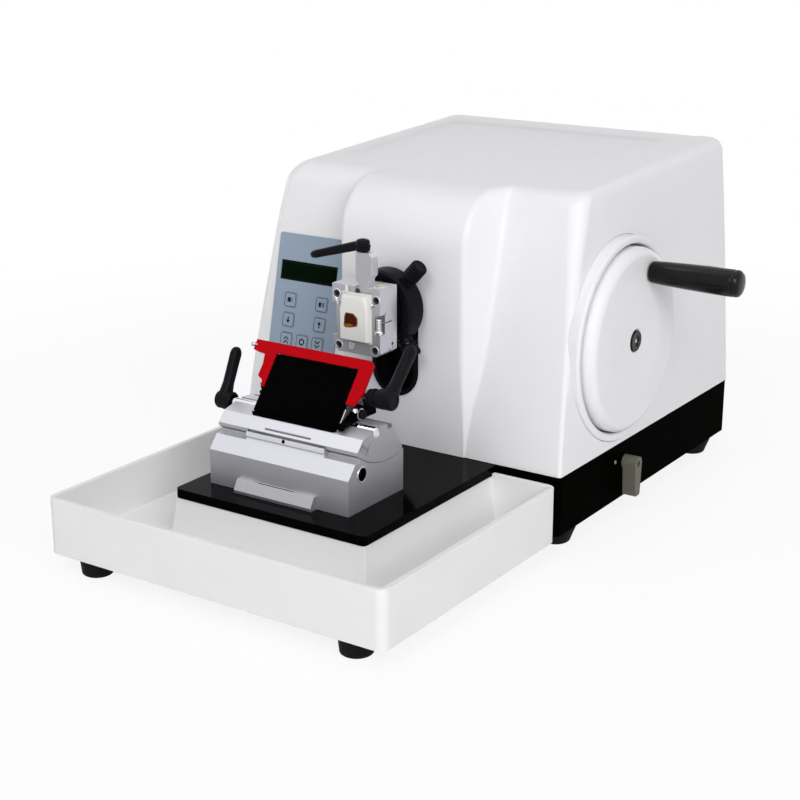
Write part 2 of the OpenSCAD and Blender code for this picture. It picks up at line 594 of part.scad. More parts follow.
// The casting that carries the crankshaft and both guide rods
module upright(x0) difference() {
    union() {
        rod_x(x0, x0 + upright_t, wheel_y, wheel_z, bearing_d + 22);
        along_x(x0, x0 + upright_t) polygon([[wheel_y - bearing_d / 2 - 10.8, wheel_z - 3],
            [wheel_y - 46, base_top_z + 1], [wheel_y + 46, base_top_z + 1],
            [wheel_y + bearing_d / 2 + 10.8, wheel_z - 3]]);
    }
    rod_x(x0 - 1, x0 + bearing_w, wheel_y, wheel_z, bearing_d);
    rod_x(x0 - 1, x0 + upright_t + 1, wheel_y, wheel_z, bearing_d - 8);
    rod_x(x0 - 1, x0 + upright_t + 1, wheel_y, base_top_z + 32, 26);
}
module frame_casting() color("#5d666d") placed() {
    difference() {
        union() {
            block(head_x - 50, bearing_x[1] + upright_t, wheel_y - 66, wheel_y + 52, base_top_z,
                base_top_z + foot_t);
            for (x = bearing_x) upright(x);
            block(head_x - rod_reach - 14, head_x + rod_reach + 14, rail_y + 22, rail_y + 34,
                base_top_z + foot_t - 1, bridge_z + 14);
            block(head_x - rod_reach - 14, head_x + rod_reach + 14, rail_y - 12, rail_y + 34, bridge_z,
                bridge_z + 14);
        }
        for (s = [-1, 1]) rod_z(base_top_z - 1, bridge_z + 20, head_x + s * rod_reach, rail_y, rod_d);
        // Windows for the feed motor, the crank and the brake stem
        block(head_x - 26, head_x + 26, rail_y + 20, rail_y + 36, base_top_z + 30, bridge_z - 14);
        rod_z(base_top_z - 1, base_top_z + foot_t + 1, brake_x, lock_y, stem_d + 1);
    }
}

module guide_rods() color("#c9ccd0") placed() for (s = [-1, 1])
    rod_z(base_top_z, bridge_z + 14, head_x + s * rod_reach, rail_y, rod_d - 0.02);

module shaft_bearings() color("#b7babd") placed() for (x = bearing_x) difference() {
    rod_x(x, x + bearing_w, wheel_y, wheel_z, bearing_d - 0.02);
    rod_x(x - 1, x + bearing_w + 1, wheel_y, wheel_z, shaft_d + 2 * fit_gap);
    for (f = [x - 1, x + bearing_w - 0.6]) translate([f, wheel_y, wheel_z]) rotate([0, 90, 0]) difference() {
        cylinder(h = 1.6, d = bearing_d - 8);
        translate([0, 0, -1]) cylinder(h = 4, d = shaft_d + 8);
    }
}

yoke_x = head_x + rod_reach + 15;
disc_x = yoke_x + 18;
disc_t = 10;
shaft_end_x = wheel_face_x - 6;
wheel_back_x = wheel_face_x - 19;
pin_d = 10;
module crankshaft() color("#9aa0a6") placed() translate([0, wheel_y, wheel_z]) {
    rotate([0, 90, 0]) rotate_extrude() polygon([[0, disc_x], [shaft_d / 2 + 4, disc_x],
        [shaft_d / 2 + 4, bearing_x[0] - gap], [shaft_d / 2, bearing_x[0] - gap],
        [shaft_d / 2, brake_x - 6], [drum_r, brake_x - 6], [drum_r, brake_x + 6],
        [shaft_d / 2, brake_x + 6], [shaft_d / 2, wheel_back_x + 2], [shaft_d / 2 - 3, wheel_back_x + 2],
        [shaft_d / 2 - 3, shaft_end_x], [0, shaft_end_x]]);
    // The crank web: a lug for the pin and a heavy half round opposite
    along_x(disc_x, disc_x + disc_t) polygon(concat(arc(0, crank_r, 11, 0, 180, 12),
        arc(0, 0, 42, 200, 340, 20)));
    rod_x(disc_x - 9.4, disc_x + 1, 0, crank_r, pin_d);
}

module crank_roller() color("#c9ccd0") placed() difference() {
    rod_x(disc_x - 9.2, disc_x - 0.8, wheel_y, wheel_z + crank_r, 20);
    rod_x(disc_x - 10, disc_x, wheel_y, wheel_z + crank_r, pin_d + 2 * fit_gap);
}

// The white wheel: a rounded rim, a shallow dish, and a hub behind
module handwheel() color("#f2f2f1") placed() difference() {
    translate([0, wheel_y, wheel_z]) rotate([0, 90, 0]) rotate_extrude($fn = 96) polygon(concat(
        [[shaft_d / 2 - 3, wheel_back_x + 2.2], [20, wheel_back_x + 2.2], [20, wheel_back_x + 8],
            [wheel_r - 6, wheel_back_x + 8], [wheel_r - 6, wheel_back_x + 3], [wheel_r - 1.5, wheel_back_x + 3],
            [wheel_r, wheel_back_x + 5]],
        arc(wheel_r - 7, wheel_face_x - 7.5, 7, 0, 84, 7),
        [[wheel_r - 14, wheel_face_x - 0.7], [wheel_r * 0.55, wheel_face_x], [wheel_r * 0.38, wheel_face_x - 1.2],
            [12, wheel_face_x - 1.6], [11.4, wheel_face_x - 4], [shaft_d / 2 - 3, wheel_face_x - 4]]));
    rod_x(wheel_face_x - 8, wheel_face_x + 1, grip_y, grip_z, 8);
}
grip_y = wheel_y + grip_reach * cos(grip_angle);
grip_z = wheel_z + grip_reach * sin(grip_angle);

module hub_cap() color("#111111") placed() translate([0, wheel_y, wheel_z]) rotate([0, 90, 0])
    rotate_extrude() polygon([[0, wheel_face_x - 4], [11, wheel_face_x - 4], [11, wheel_face_x - 0.8],
        [10, wheel_face_x], [5, wheel_face_x - 0.2], [4.2, wheel_face_x - 1.4], [0, wheel_face_x - 1.4]]);

module grip_spindle() color("#c4c7ca") placed() translate([0, grip_y, grip_z]) rotate([0, 90, 0])
    rotate_extrude() polygon([[0, wheel_face_x - 8], [4, wheel_face_x - 8], [4, wheel_face_x],
        [4.8, wheel_face_x], [4.8, wheel_face_x + 0.7], [4, wheel_face_x + 0.7], [4, grip_end_x - 8], [0, grip_end_x - 8]]);

module handwheel_grip() color("#151515") placed() translate([0, grip_y, grip_z]) rotate([0, 90, 0])
    rotate_extrude() polygon(concat(
        [[4 + fit_gap, wheel_face_x + 1], [8.4, wheel_face_x + 1], [9.2, wheel_face_x + 2.4],
            [9.9, wheel_face_x + 16], [10.8, wheel_face_x + 36], [grip_d / 2, wheel_face_x + 60],
            [grip_d / 2, grip_end_x - 6]],
        arc(grip_d / 2 - 4, grip_end_x - 4, 4, 20, 75, 4),
        [[0, grip_end_x], [0, grip_end_x - 7.6], [4 + fit_gap, grip_end_x - 7.6]]));

// The grey lever on the side of the base, its shaft, and the eccentric under the brake stem
lever_out_x = base_w / 2 + 13.8;
module lock_lever() color("#8b8d88") placed() {
    rod_x(brake_x - 10, base_w / 2 + 3, lock_y, lock_z, lock_shaft_d);
    rod_x(brake_x - 6, brake_x + 6, lock_y, lock_z - 0.8, lock_shaft_d + 8);
    difference() {
        union() {
            rod_x(base_w / 2 + 0.6, lever_out_x, lock_y, lock_z, 12.4);
            along_x(base_w / 2 + 1.8, lever_out_x) polygon([[lock_y - 6.1, lock_z + 1],
                [lock_y - 4.4, lock_z - 27], [lock_y - 3.2, lock_z - 28.6], [lock_y + 3.2, lock_z - 28.6],
                [lock_y + 4.4, lock_z - 27], [lock_y + 6.1, lock_z + 1]]);
        }
        translate([lever_out_x - 5, lock_y, lock_z]) rotate([0, 90, 0]) cylinder(h = 6, r = 3, $fn = 6);
    }
}
stem_z = lock_z + lock_shaft_d / 2 + 4 - 0.8 + gap;
module brake_shoe() color("#6d5a44") placed() difference() {
    union() {
        rod_z(stem_z, wheel_z - drum_r - 8, brake_x, lock_y, stem_d);
        block(brake_x - 5.4, brake_x + 5.4, wheel_y - 14, lock_y + 8, wheel_z - drum_r - 12,
            wheel_z - drum_r + 3);
    }
    rod_x(brake_x - 8, brake_x + 8, wheel_y, wheel_z, 2 * (drum_r + 1.2));
}

// ---------------------------------------------------------------- specimen slide

carriage_y0 = 44;
carriage_y1 = 80;
carriage_low = head_z - 32;
carriage_high = head_z + 36;
motor_w = 42;
motor_y0 = 94;
motor_y1 = 134;
post_r = 17;

module slide_carriage() color("#aab0b5") placed() difference() {
    union() {
        block(head_x - rod_reach - 15, head_x + rod_reach + 15, carriage_y0, carriage_y1, carriage_low,
            carriage_high);
        for (x = [-1, 1], z = [-1, 1]) {
            rod_y(carriage_y1 - 1, motor_y0, head_x + x * post_r, head_z + z * post_r, 7);
            rod_y(shutter_y + shutter_t, carriage_y0 + 1, head_x + x * 25, head_z + z * 26, 7);
        }
    }
    for (s = [-1, 1]) rod_z(carriage_low - 1, carriage_high + 1, head_x + s * rod_reach, rail_y,
        rod_d + 2 * fit_gap);
    rod_y(carriage_y0 - 1, carriage_y1 + 1, head_x, head_z, cylinder_d + 2 * fit_gap);
}

module slot_shutter() color("#101011") placed() difference() {
    along_y(shutter_y, shutter_y + shutter_t) polygon(round_rect(head_x - shutter_w / 2,
        head_x + shutter_w / 2, slot_low_z - slot_r - 2, slot_high_z + slot_r + stroke + 1, 3));
    rod_y(shutter_y - 1, shutter_y + shutter_t + 1, head_x, head_z, cylinder_d + 2 * gap);
}

yoke_t = 8;
yoke_z = wheel_z + crank_r;
module crank_yoke() color("#7d8489") placed() difference() {
    block(yoke_x, yoke_x + yoke_t, carriage_y0 + 4, wheel_y + crank_r + 20, yoke_z - 18, yoke_z + 18);
    along_x(yoke_x - 1, yoke_x + 9) rotate(-90) polygon(stadium(-yoke_z, wheel_y - crank_r,
        wheel_y + crank_r, 10.3));
}

module feed_motor() color("#2b2c2e") placed() difference() {
    union() {
        along_y(motor_y0, motor_y1) polygon(round_rect(head_x - motor_w / 2, head_x + motor_w / 2,
            head_z - motor_w / 2, head_z + motor_w / 2, 4));
        rod_y(motor_y0 - 2, motor_y0 + 1, head_x, head_z, 22);
    }
    rod_y(motor_y0 - 3, motor_y1 + 1, head_x, head_z, 8 + 2 * fit_gap);
}

cylinder_front = -3;
module specimen_cylinder() color("#b9bec3") placed() difference() {
    rod_y(cylinder_front, carriage_y1 + 8, head_x, head_z, cylinder_d);
    rod_y(20, carriage_y1 + 9, head_x, head_z, cylinder_d - 12);
}
module feed_screw() color("#d0d2d4") placed() {
    rod_y(20, motor_y1 + 6, head_x, head_z, 8);
    rod_y(20, 28, head_x, head_z, cylinder_d - 12.1);
}

// ---------------------------------------------------------------- orientation head

disc_back_y = cylinder_front;
disc_front_y = -22;
pivot_y = -17;
ring_r = 22;
knob_angles = [48, -52];
knob_start = 24;
knob_y = -12;
function knob_at(a, r) = [head_x + r * cos(a), head_z + r * sin(a)];

// A black disc with a round well for the gimbal, two pivot bores and two seats for the knobs
module head_disc() color("#141516") placed() difference() {
    union() {
        translate([head_x, 0, head_z]) rotate([90, 0, 0]) rotate_extrude($fn = 96) polygon([
            [0, -disc_back_y], [head_r, -disc_back_y], [head_r, -disc_back_y + 15],
            [head_r - 2, -disc_front_y], [0, -disc_front_y]]);
        for (a = knob_angles) translate([head_x, knob_y, head_z]) rotate([0, -a, 0])
            translate([20, 0, 0]) rotate([0, 90, 0]) cylinder(h = head_r - 16, d = 13);
    }
    translate([head_x, 0, head_z]) rotate([90, 0, 0]) rotate_extrude($fn = 72) polygon([[0, 6.4],
        [ring_r + 2, 6.4], [ring_r + 2, 30], [0, 30]]);
    for (s = [-1, 1]) rod_x(head_x + s * 26.5 - 4, head_x + s * 26.5 + 4, pivot_y, head_z,
        4 + 2 * fit_gap);
    for (a = knob_angles) translate([head_x, knob_y, head_z]) rotate([0, -a, 0])
        translate([knob_start, 0, 0]) rotate([0, 90, 0]) cylinder(h = 30, d = 6 + 2 * fit_gap);
}

// The gimbal ring: it tilts on two level pins, and carries the clamp on two upright bores
module tilt_ring() color("#3c3f42") placed() difference() {
    union() {
        translate([head_x, 0, head_z]) rotate([90, 0, 0]) rotate_extrude($fn = 72) polygon([
            [ring_r - 5, -pivot_y - 4], [ring_r, -pivot_y - 4], [ring_r, -pivot_y + 4],
            [ring_r - 5, -pivot_y + 4]]);
        for (s = [0, 1]) rod_x(s == 0 ? head_x - 28 : head_x + ring_r - 2,
            s == 0 ? head_x - ring_r + 2 : head_x + 28, pivot_y, head_z, 4);
    }
    rod_z(head_z - ring_r - 2, head_z + ring_r + 2, head_x, pivot_y, 4 + 2 * fit_gap);
}

knob_r0 = head_r + 4.5;
module knob(a) color("#0f0f10") placed() translate([head_x, knob_y, head_z]) rotate([0, -a, 0]) {
    translate([knob_start + 4, 0, 0]) rotate([0, 90, 0]) cylinder(h = 14, d = 6);
    translate([knob_r0, 0, 0]) rotate([0, 90, 0]) difference() {
        rotate_extrude() polygon([[0, 0], [6.4, 0], [6.9, 1], [6.9, 14], [6, 15.4], [0, 15.4]]);
        for (i = [0:11]) rotate(i * 30) translate([7.3, 0, 2]) cylinder(h = 15, d = 2.2);
    }
}
module tilt_knob() knob(knob_angles[0]);
module swivel_knob() knob(knob_angles[1]);

// ---------------------------------------------------------------- cassette clamp

clamp_back_y = -28.6;
clamp_front_y = -52;
clamp_x0 = head_x - clamp_w / 2;
clamp_x1 = head_x + clamp_w / 2;
clamp_z0 = head_z - 30;
clamp_z1 = clamp_z0 + clamp_h;
cassette_w = 28.5;
cassette_h = 40.5;
cassette_t = 5.5;
cassette_x = head_x + 1;
cassette_back_y = clamp_front_y + 5;
cassette_front_y = cassette_back_y - cassette_t;
block_front_y = -58;
jaw_travel = 2;
jaw_x = 9.2;
screw_spots = [[clamp_x0 + 4.6, clamp_z1 - 8], [clamp_x1 - 3.7, clamp_z1 - 9],
    [clamp_x0 + 6, clamp_z0 + 5], [clamp_x1 - 5, clamp_z0 + 5]];

module clamp_body() color("#c3c6c9") placed() difference() {
    union() {
        along_y(clamp_front_y, clamp_back_y) polygon([[clamp_x0, clamp_z0 + 10], [clamp_x0 + 5, clamp_z0],
            [clamp_x1 - 4, clamp_z0], [clamp_x1, clamp_z0 + 3], [clamp_x1, clamp_z1],
            [clamp_x0, clamp_z1]]);
        // The neck and its two upright pins in the gimbal ring
        rod_y(clamp_back_y - 1, pivot_y + 3.5, head_x, head_z, 24);
        rod_z(head_z - ring_r - 1, head_z + ring_r + 1, head_x, pivot_y, 4);
    }
    // Pocket of the cassette, open in front, and the jaw's way above it
    block(cassette_x - cassette_w / 2 - 0.2, cassette_x + cassette_w / 2 + 0.2, clamp_front_y - 1,
        cassette_back_y, head_z - cassette_h / 2 - 0.2, head_z + cassette_h / 2 + 0.2);
    block(jaw_x - 7.8, jaw_x + 7.8, clamp_front_y - 1, clamp_front_y + 10, head_z + cassette_h / 2,
        clamp_z1 + 1);
    // Side windows and the relief of the spring arm on the right
    block(clamp_x1 - 5, clamp_x1 + 1, clamp_front_y - 1, clamp_front_y + 7, head_z - 12, head_z + 4);
    block(clamp_x1 - 3, clamp_x1 + 1, clamp_front_y + 6, clamp_back_y - 7, head_z - 3.6, head_z - 2.4);
    block(clamp_x0 - 1, clamp_x0 + 4, clamp_front_y - 1, clamp_front_y + 8, head_z - 17, head_z + 10);
    for (p = screw_spots) rod_y(clamp_front_y - 1, clamp_front_y + 12, p[0], p[1], 6.6);
    rod_x(clamp_x1 - 10, clamp_x1 + 1, clamp_back_y - 6, clamp_z0 + 8, 3);
}

module clamp_screws() color("#8d9094") placed() for (p = screw_spots)
    translate([p[0], clamp_front_y + 0.8, p[1]]) rotate([-90, 0, 0]) difference() {
        rotate_extrude() polygon([[0, 0], [2.6, 0], [3.1, 0.6], [3.1, 3.4], [3.1, 11.2], [0, 11.2]]);
        translate([0, 0, -1]) cylinder(h = 3, r = 1.6, $fn = 6);
    }

// The plastic cassette: a shallow grid tray with a sloped lower front
module specimen_cassette() color("#eeeeea") placed() difference() {
    block(cassette_x - cassette_w / 2, cassette_x + cassette_w / 2, cassette_front_y, cassette_back_y,
        head_z - cassette_h / 2, head_z + cassette_h / 2);
    for (x = [-2:2], z = [-3:3]) block(cassette_x + x * 5 - 1.6, cassette_x + x * 5 + 1.6,
        cassette_back_y - 3, cassette_back_y + 1, head_z + z * 5 - 1.6, head_z + z * 5 + 1.6);
}
module specimen_block() color("#efece4") placed()
    along_y(block_front_y, cassette_front_y) polygon(round_rect(cassette_x - block_w / 2,
        cassette_x + block_w / 2, head_z - block_h / 2, head_z + block_h / 2, 2));

// The sliding jaw: a toe on the cassette's upper edge under a tall post with the lever's pivot
jaw_z0 = head_z + cassette_h / 2 + gap;
jaw_top_z = clamp_z1 + 27.5;
jaw_pin_x = jaw_x - 3.4;
jaw_pin_y = clamp_front_y + 4.6;
module clamp_jaw() color("#cfd2d4") placed() difference() {
    union() {
        along_y(clamp_front_y + 0.4, clamp_front_y + 9.4) polygon([[jaw_x - 7.4, jaw_z0],
            [jaw_x + 7.4, jaw_z0], [jaw_x + 7.4, jaw_z0 + 3.6], [jaw_x + 4.4, jaw_z0 + 4.4],
            [jaw_x + 4.4, clamp_z1 + 6], [jaw_x + 7.6, clamp_z1 + 10], [jaw_x + 7.6, jaw_top_z - 3],
            [jaw_x + 5, jaw_top_z], [jaw_x - 7.6, jaw_top_z], [jaw_x - 7.6, clamp_z1 + 5],
            [jaw_x - 4.4, clamp_z1 + 2], [jaw_x - 4.4, jaw_z0 + 4.4], [jaw_x - 7.4, jaw_z0 + 3.6]]);
    }
    rod_z(jaw_top_z - 12, jaw_top_z + 1, jaw_pin_x, jaw_pin_y, 4 + 2 * fit_gap);
}

// A ratchet clamp lever drawn along +Z from its hub on the X axis: hub length, reach and arm width
module clamp_lever(hub_l, hub_d, reach, tip_w, arm_x, arm_t) {
    rod_x(0, hub_l, 0, 0, hub_d);
    along_x(arm_x, arm_x + arm_t) polygon(concat(arc(0, 0, hub_d * 0.47, 195, 345, 8),
        [[tip_w * 0.36, reach * 0.45]], arc(0, reach - tip_w * 0.45, tip_w * 0.45, 10, 170, 6),
        [[-tip_w * 0.36, reach * 0.45]]));
}
module jaw_lever() color("#121213") placed() translate([jaw_pin_x, jaw_pin_y, 0]) {
    translate([0, 0, jaw_top_z - 11]) cylinder(h = 12, d = 4);
    translate([0, 0, jaw_top_z + gap]) rotate_extrude() polygon([[0, 0], [5.6, 0], [5.8, 1], [5.8, 8.2],
        [4.6, 9.6], [0, 9.6]]);
    translate([0, 0, jaw_top_z + 5.7]) rotate([0, -106, 0]) translate([-3.3, 0, 0])
        linear_extrude(53) polygon(round_rect(0, 6.6, -3.6, 3.6, 2, 3));
}

// ---------------------------------------------------------------- knife holder

holder_x0 = head_x - holder_w / 2;
holder_x1 = head_x + holder_w / 2;
edge_y = -104;
edge_z = 163;
holder_front_y = -156.5;
holder_back_y = -84;
holder_z = base_top_z + 0.1;
rod_y0 = -119.6;
rod_z0 = 122.3;
nose_y = -144.6;
slide_back = 17;
slide_front = 12;
ledge_x0 = head_x - 37;
ledge_x1 = head_x + 36.7;
nut_z = base_top_z - tongue_t + gap / 2;

// Height of the rocker's round underside at a given y
function rocker_z(y, r) = edge_z - sqrt(r * r - pow(y - edge_y, 2));

module holder_base() color("#b9bdc1") placed() difference() {
    union() {
        difference() {
            along_x(holder_x0, holder_x1) polygon([[holder_front_y, holder_z],
                [holder_front_y, holder_z + 28], [holder_front_y + 8.8, holder_z + 38.2],
                [nose_y - 1.6, holder_z + 40], [nose_y - 0.6, holder_z + 45.4],
                [holder_back_y, holder_z + 45.4], [holder_back_y, holder_z]]);
            rod_x(holder_x0 - 1, holder_x1 + 1, edge_y, edge_z, 2 * rocker_r);
        }
        // Clamp ledge across the lower front
        along_x(ledge_x0, ledge_x1) polygon([[holder_front_y + 1, holder_z], [holder_front_y + 1, holder_z + 10.4],
            [holder_front_y - 3.2, holder_z + 10.4], [holder_front_y - 7.6, holder_z + 2.6],
            [holder_front_y - 7.2, holder_z]]);
        // Key in the tongue's slot, and the clamp washer under it
        block(head_x - guide_slot_w / 2 + fit_gap, head_x + guide_slot_w / 2 - fit_gap,
            guide_slot_y0 + slide_front + 2, guide_slot_y1 - slide_back - 8, nut_z, holder_z + 1);
        block(head_x - nut_w / 2 + gap, head_x + nut_w / 2 - gap, -128, -104, nut_z, nut_z + nut_t);
    }
    // Raised centre of the front ridge, cut back at both ends under the rocker's lip
    for (s = [-1, 1]) translate([head_x + s * 52.4, 0, 0])
        block(-15, 15, nose_y - 3, nose_y + 3, holder_z + 38.6, holder_z + 47);
    rod_x(holder_x1 - 16, holder_x1 + 1, -138.7, holder_z + 28.6, 10.4);
    block(ledge_x0 + 14, ledge_x1 - 14, holder_front_y - 1.6, holder_front_y - 0.8, holder_z + 7,
        holder_z + 12);
    rod_y(nose_y - 4, nose_y + 2, head_x - 1, holder_z + 42.6, 3);
}

module rocker_screw() color("#1a1a1b") placed() translate([holder_x1 - 15.6, -138.7, holder_z + 28.6])
    rotate([0, 90, 0]) difference() {
        rotate_extrude() polygon([[0, 0], [5, 0], [5, 11.4], [4.4, 12], [0, 12]]);
        translate([0, 0, 6]) cylinder(h = 8, r = 2.9, $fn = 6);
    }

groove_y = -102.4;
groove_w = 6;
rocker_top = 126.4;
module rocker_segment() color("#c2c6ca") placed() difference() {
    intersection() {
        along_x(holder_x0, holder_x1) polygon([[nose_y, edge_z - 60], [nose_y, holder_z + 47],
            [nose_y + 7.6, holder_z + 54.9], [rod_y0 - 3.6, rocker_top - 1.8],
            [rod_y0 + 3.6, rocker_top], [-100, rocker_top - 1.4],
            [-89, holder_z + 41.2], [-86.6, holder_z + 38], [holder_back_y - 0.4, holder_z + 32],
            [holder_back_y - 0.4, edge_z - 70], [nose_y, edge_z - 70]]);
        rod_x(holder_x0, holder_x1, edge_y, edge_z, 2 * (rocker_r - gap));
    }
    // Seat of the clamp rod, open above, and the carrier's guide groove
    rod_x(holder_x0 - 1, holder_x1 + 1, rod_y0, rod_z0, clamp_rod_d + 2 * fit_gap);
    block(holder_x0 - 1, holder_x1 + 1, rod_y0 - 3.6, rod_y0 + 3.6, rod_z0 + 2, rocker_top + 3);
    block(holder_x0 - 1, holder_x1 + 1, groove_y - groove_w / 2, groove_y + groove_w / 2,
        rocker_top - 6, rocker_top + 3);
    // The lip is cut away over the base's raised centre, with a fine slot behind it
    block(head_x - 37.4, head_x + 37.4, nose_y - 1, nose_y + 2.6, holder_z + 30, holder_z + 46.6);
    block(head_x - 22, head_x + 22, nose_y + 1.4, nose_y + 2.6, holder_z + 44, holder_z + 50.4);
    // Two scale notches on the right side
    for (i = [0:5]) block(holder_x1 - 0.4, holder_x1 + 1, -140 + i * 1.8, -139.7 + i * 1.8, 112 - i * 1.2,
        i % 5 == 0 ? 119 - i * 1.2 : 116 - i * 1.2);
}

module clamp_rod() color("#dfe1e3") placed()
    rod_x(holder_x0 - 8, holder_x1 - 0.5, rod_y0, rod_z0, clamp_rod_d);

lateral_lean = 25;
module lateral_lever() color("#0f0f10") placed() difference() {
    translate([holder_x0 - 5.2, rod_y0, rod_z0]) rotate([0, 0, 180]) rotate([lateral_lean, 0, 0])
        clamp_lever(14.6, 15, 43.4, 10.6, 5, 9);
    rod_x(holder_x0 - 8, holder_x0, rod_y0, rod_z0, clamp_rod_d);
}

plate_t = 3;
lean_dir = [cos(plate_lean), sin(plate_lean)];
lean_out = [-sin(plate_lean), cos(plate_lean)];
// A point on the pressure plate's front face: s up the slope from its top edge, d out of the face
function on_plate(s, d) = [edge_y, edge_z] + s * lean_dir + d * lean_out;
carrier_gap = 0.4;
plate_half = plate_w / 2;
plate_pivot_s = -47.4;
plate_axis = on_plate(plate_pivot_s, -plate_t / 2);
guard_axis = on_plate(-24, -plate_t / 2);
tab_t = 2;
cheek_in = plate_half + gap + tab_t + gap;
cheek_t = 5.2;
cheek_out = cheek_in + cheek_t;
blade_axis = [-108.4, 145.2];
carrier_z = rocker_top + 0.4;
pin_small = 2.4;
pin_guard = 2.8;

module blade_carrier() color("#b4b8bc") placed() difference() {
    union() {
        along_x(head_x - plate_half, head_x + plate_half) polygon([
            [on_plate(-44, -plate_t - carrier_gap)[0], carrier_z],
            on_plate(-41, -plate_t - carrier_gap), on_plate(-3, -plate_t - carrier_gap),
            on_plate(-2.4, -plate_t - carrier_gap - 1.6), [-97, 150], [-91, 138], [-90, carrier_z]]);
        // Cheeks that carry the plate and the lever, clear of the guard as it folds
        for (s = [0, 1]) along_x(s == 0 ? head_x - cheek_out : head_x + cheek_in,
            s == 0 ? head_x - cheek_in : head_x + cheek_out) polygon(concat(
            [[-92, carrier_z]], arc(-95, 141, 3, 0, 60, 3),
            arc(blade_axis[0], blade_axis[1], 5.4, 60, 150, 5), [[-109.5, 138], [-127, 129.4]],
            arc(plate_axis[0], plate_axis[1] + 0.4, 3.4, 110, 200, 5), [[-134, carrier_z - 2.6],
            [-131, carrier_z - 1.7], [-122, carrier_z]]));
        block(head_x - cheek_in - 1, head_x + cheek_in + 1, -108, -92, carrier_z, carrier_z + 9);
        block(head_x - plate_half, head_x + plate_half, groove_y - groove_w / 2 + fit_gap,
            groove_y + groove_w / 2 - fit_gap, rocker_top - 5.6, carrier_z + 1);
    }
    rod_x(head_x, head_x + cheek_out + 1, blade_axis[0], blade_axis[1], 6 + 2 * fit_gap);
    rod_x(head_x - cheek_out - 1, head_x + cheek_out + 1, plate_axis[0], plate_axis[1],
        pin_small + 2 * fit_gap);
}

module blade_lever() color("#0f0f10") placed() {
    rod_x(head_x + 2, head_x + 52.5, blade_axis[0], blade_axis[1], 6);
    translate([head_x + 52, blade_axis[0], blade_axis[1]]) rotate([-44, 0, 0])
        clamp_lever(23, 15.4, 48, 11, 13, 9.4);
}

// The black plate that presses the blade, with cut lower corners and the pivots of the guard
module pressure_plate() color("#0b0b0c") placed() {
    difference() {
        along_x(head_x - plate_half, head_x + plate_half) polygon([on_plate(0, 0),
            on_plate(plate_pivot_s, 0), on_plate(plate_pivot_s - 1.5, -plate_t / 2),
            on_plate(plate_pivot_s, -plate_t), on_plate(-1.7, -plate_t)]);
        for (s = [-1, 1]) translate([head_x, edge_y, edge_z]) rotate([plate_lean, 0, 0])
            translate([0, 0, -2 * plate_t]) linear_extrude(3 * plate_t)
            polygon([[s * (plate_half + 1), -39.5], [s * (plate_half + 1), -53], [s * (plate_half - 7.6), -53]]);
    }
    rod_x(head_x - cheek_out + 0.3, head_x + cheek_out - 0.3, plate_axis[0], plate_axis[1], pin_small);
    for (s = [0, 1]) rod_x(s == 0 ? head_x - cheek_in + 0.2 : head_x + plate_half - 4,
        s == 0 ? head_x - plate_half + 4 : head_x + cheek_in - 0.2, guard_axis[0], guard_axis[1], pin_guard);
}

module blade() color("#d9dcde") placed() along_x(head_x - plate_half + 1, head_x + plate_half - 1)
    polygon([on_plate(1.4, -plate_t - 0.2), on_plate(-8, -plate_t - 0.05), on_plate(-8, -plate_t - 0.35)]);

guard_t = 2;
guard_low = on_plate(-26.6, 0.7);
guard_len = 33.4;
guard_lean = 64.5;
guard_dir = [cos(guard_lean), sin(guard_lean)];
guard_out = [-sin(guard_lean), cos(guard_lean)];
tab_in = plate_half + gap;
// The red guard: a U of sheet over the blade's edge, and two bent tabs on the plate's pins
module finger_guard() color("#c3161f") placed() {
    translate([head_x, guard_low[0], guard_low[1]]) rotate([guard_lean, 0, 0])
        linear_extrude(guard_t) polygon([[-57, guard_len], [57, guard_len], [58, guard_len - 3],
            [57, guard_len - 9], [54, guard_len - 14], [tab_in + 4, 1.5], [tab_in + 4, -1.5],
            [tab_in, -1.5], [tab_in, guard_len - 10.6], [-tab_in, guard_len - 10.6], [-tab_in, -1.5],
            [-tab_in - 4, -1.5], [-tab_in - 4, 1.5], [-tab_in - 2.4, 4], [-tab_in - 3, 6.4],
            [-tab_in - 6.6, 8.4], [-tab_in - 5.8, 13], [-53, guard_len - 10], [-57, guard_len - 9]]);
    for (s = [0, 1]) along_x(s == 0 ? head_x - tab_in - tab_t : head_x + tab_in + 0.2,
        s == 0 ? head_x - tab_in - 0.2 : head_x + tab_in + tab_t) difference() {
        polygon(concat(arc(guard_axis[0], guard_axis[1], 3.4, -130, 50, 8),
            [guard_low + 9 * guard_dir + 0.9 * guard_out, guard_low - 1.1 * guard_dir + 0.9 * guard_out]));
        translate(guard_axis) circle(d = pin_guard + 2 * fit_gap);
    }
    rod_x(head_x - 62.5, head_x - 55.4, guard_low[0] + (guard_len - 6) * guard_dir[0] + guard_out[0],
        guard_low[1] + (guard_len - 6) * guard_dir[1] + guard_out[1], 3.6);
}

base_plinth();
bottom_cover();
base_feet();
base_screws();
tongue_plate();
waste_tray();
tray_feet();
housing_shell();
wheel_recess();
slot_bezel();
keypad_panel();
display_window();
control_board();
power_supply();
power_inlet();
power_rocker();
frame_casting();
guide_rods();
shaft_bearings();
section_key();
trim_key();
down_key();
up_key();
fast_up_key();
home_key();
fast_down_key();
crankshaft();
crank_roller();
handwheel();
hub_cap();
grip_spindle();
handwheel_grip();
lock_lever();
brake_shoe();
slide_carriage();
slot_shutter();
crank_yoke();
feed_motor();
specimen_cylinder();
feed_screw();
head_disc();
tilt_ring();
clamp_body();
clamp_screws();
specimen_cassette();
specimen_block();
clamp_jaw();
jaw_lever();
tilt_knob();
swivel_knob();
holder_base();
rocker_segment();
rocker_screw();
clamp_rod();
lateral_lever();
blade_carrier();
blade_lever();
pressure_plate();
blade();
finger_guard();
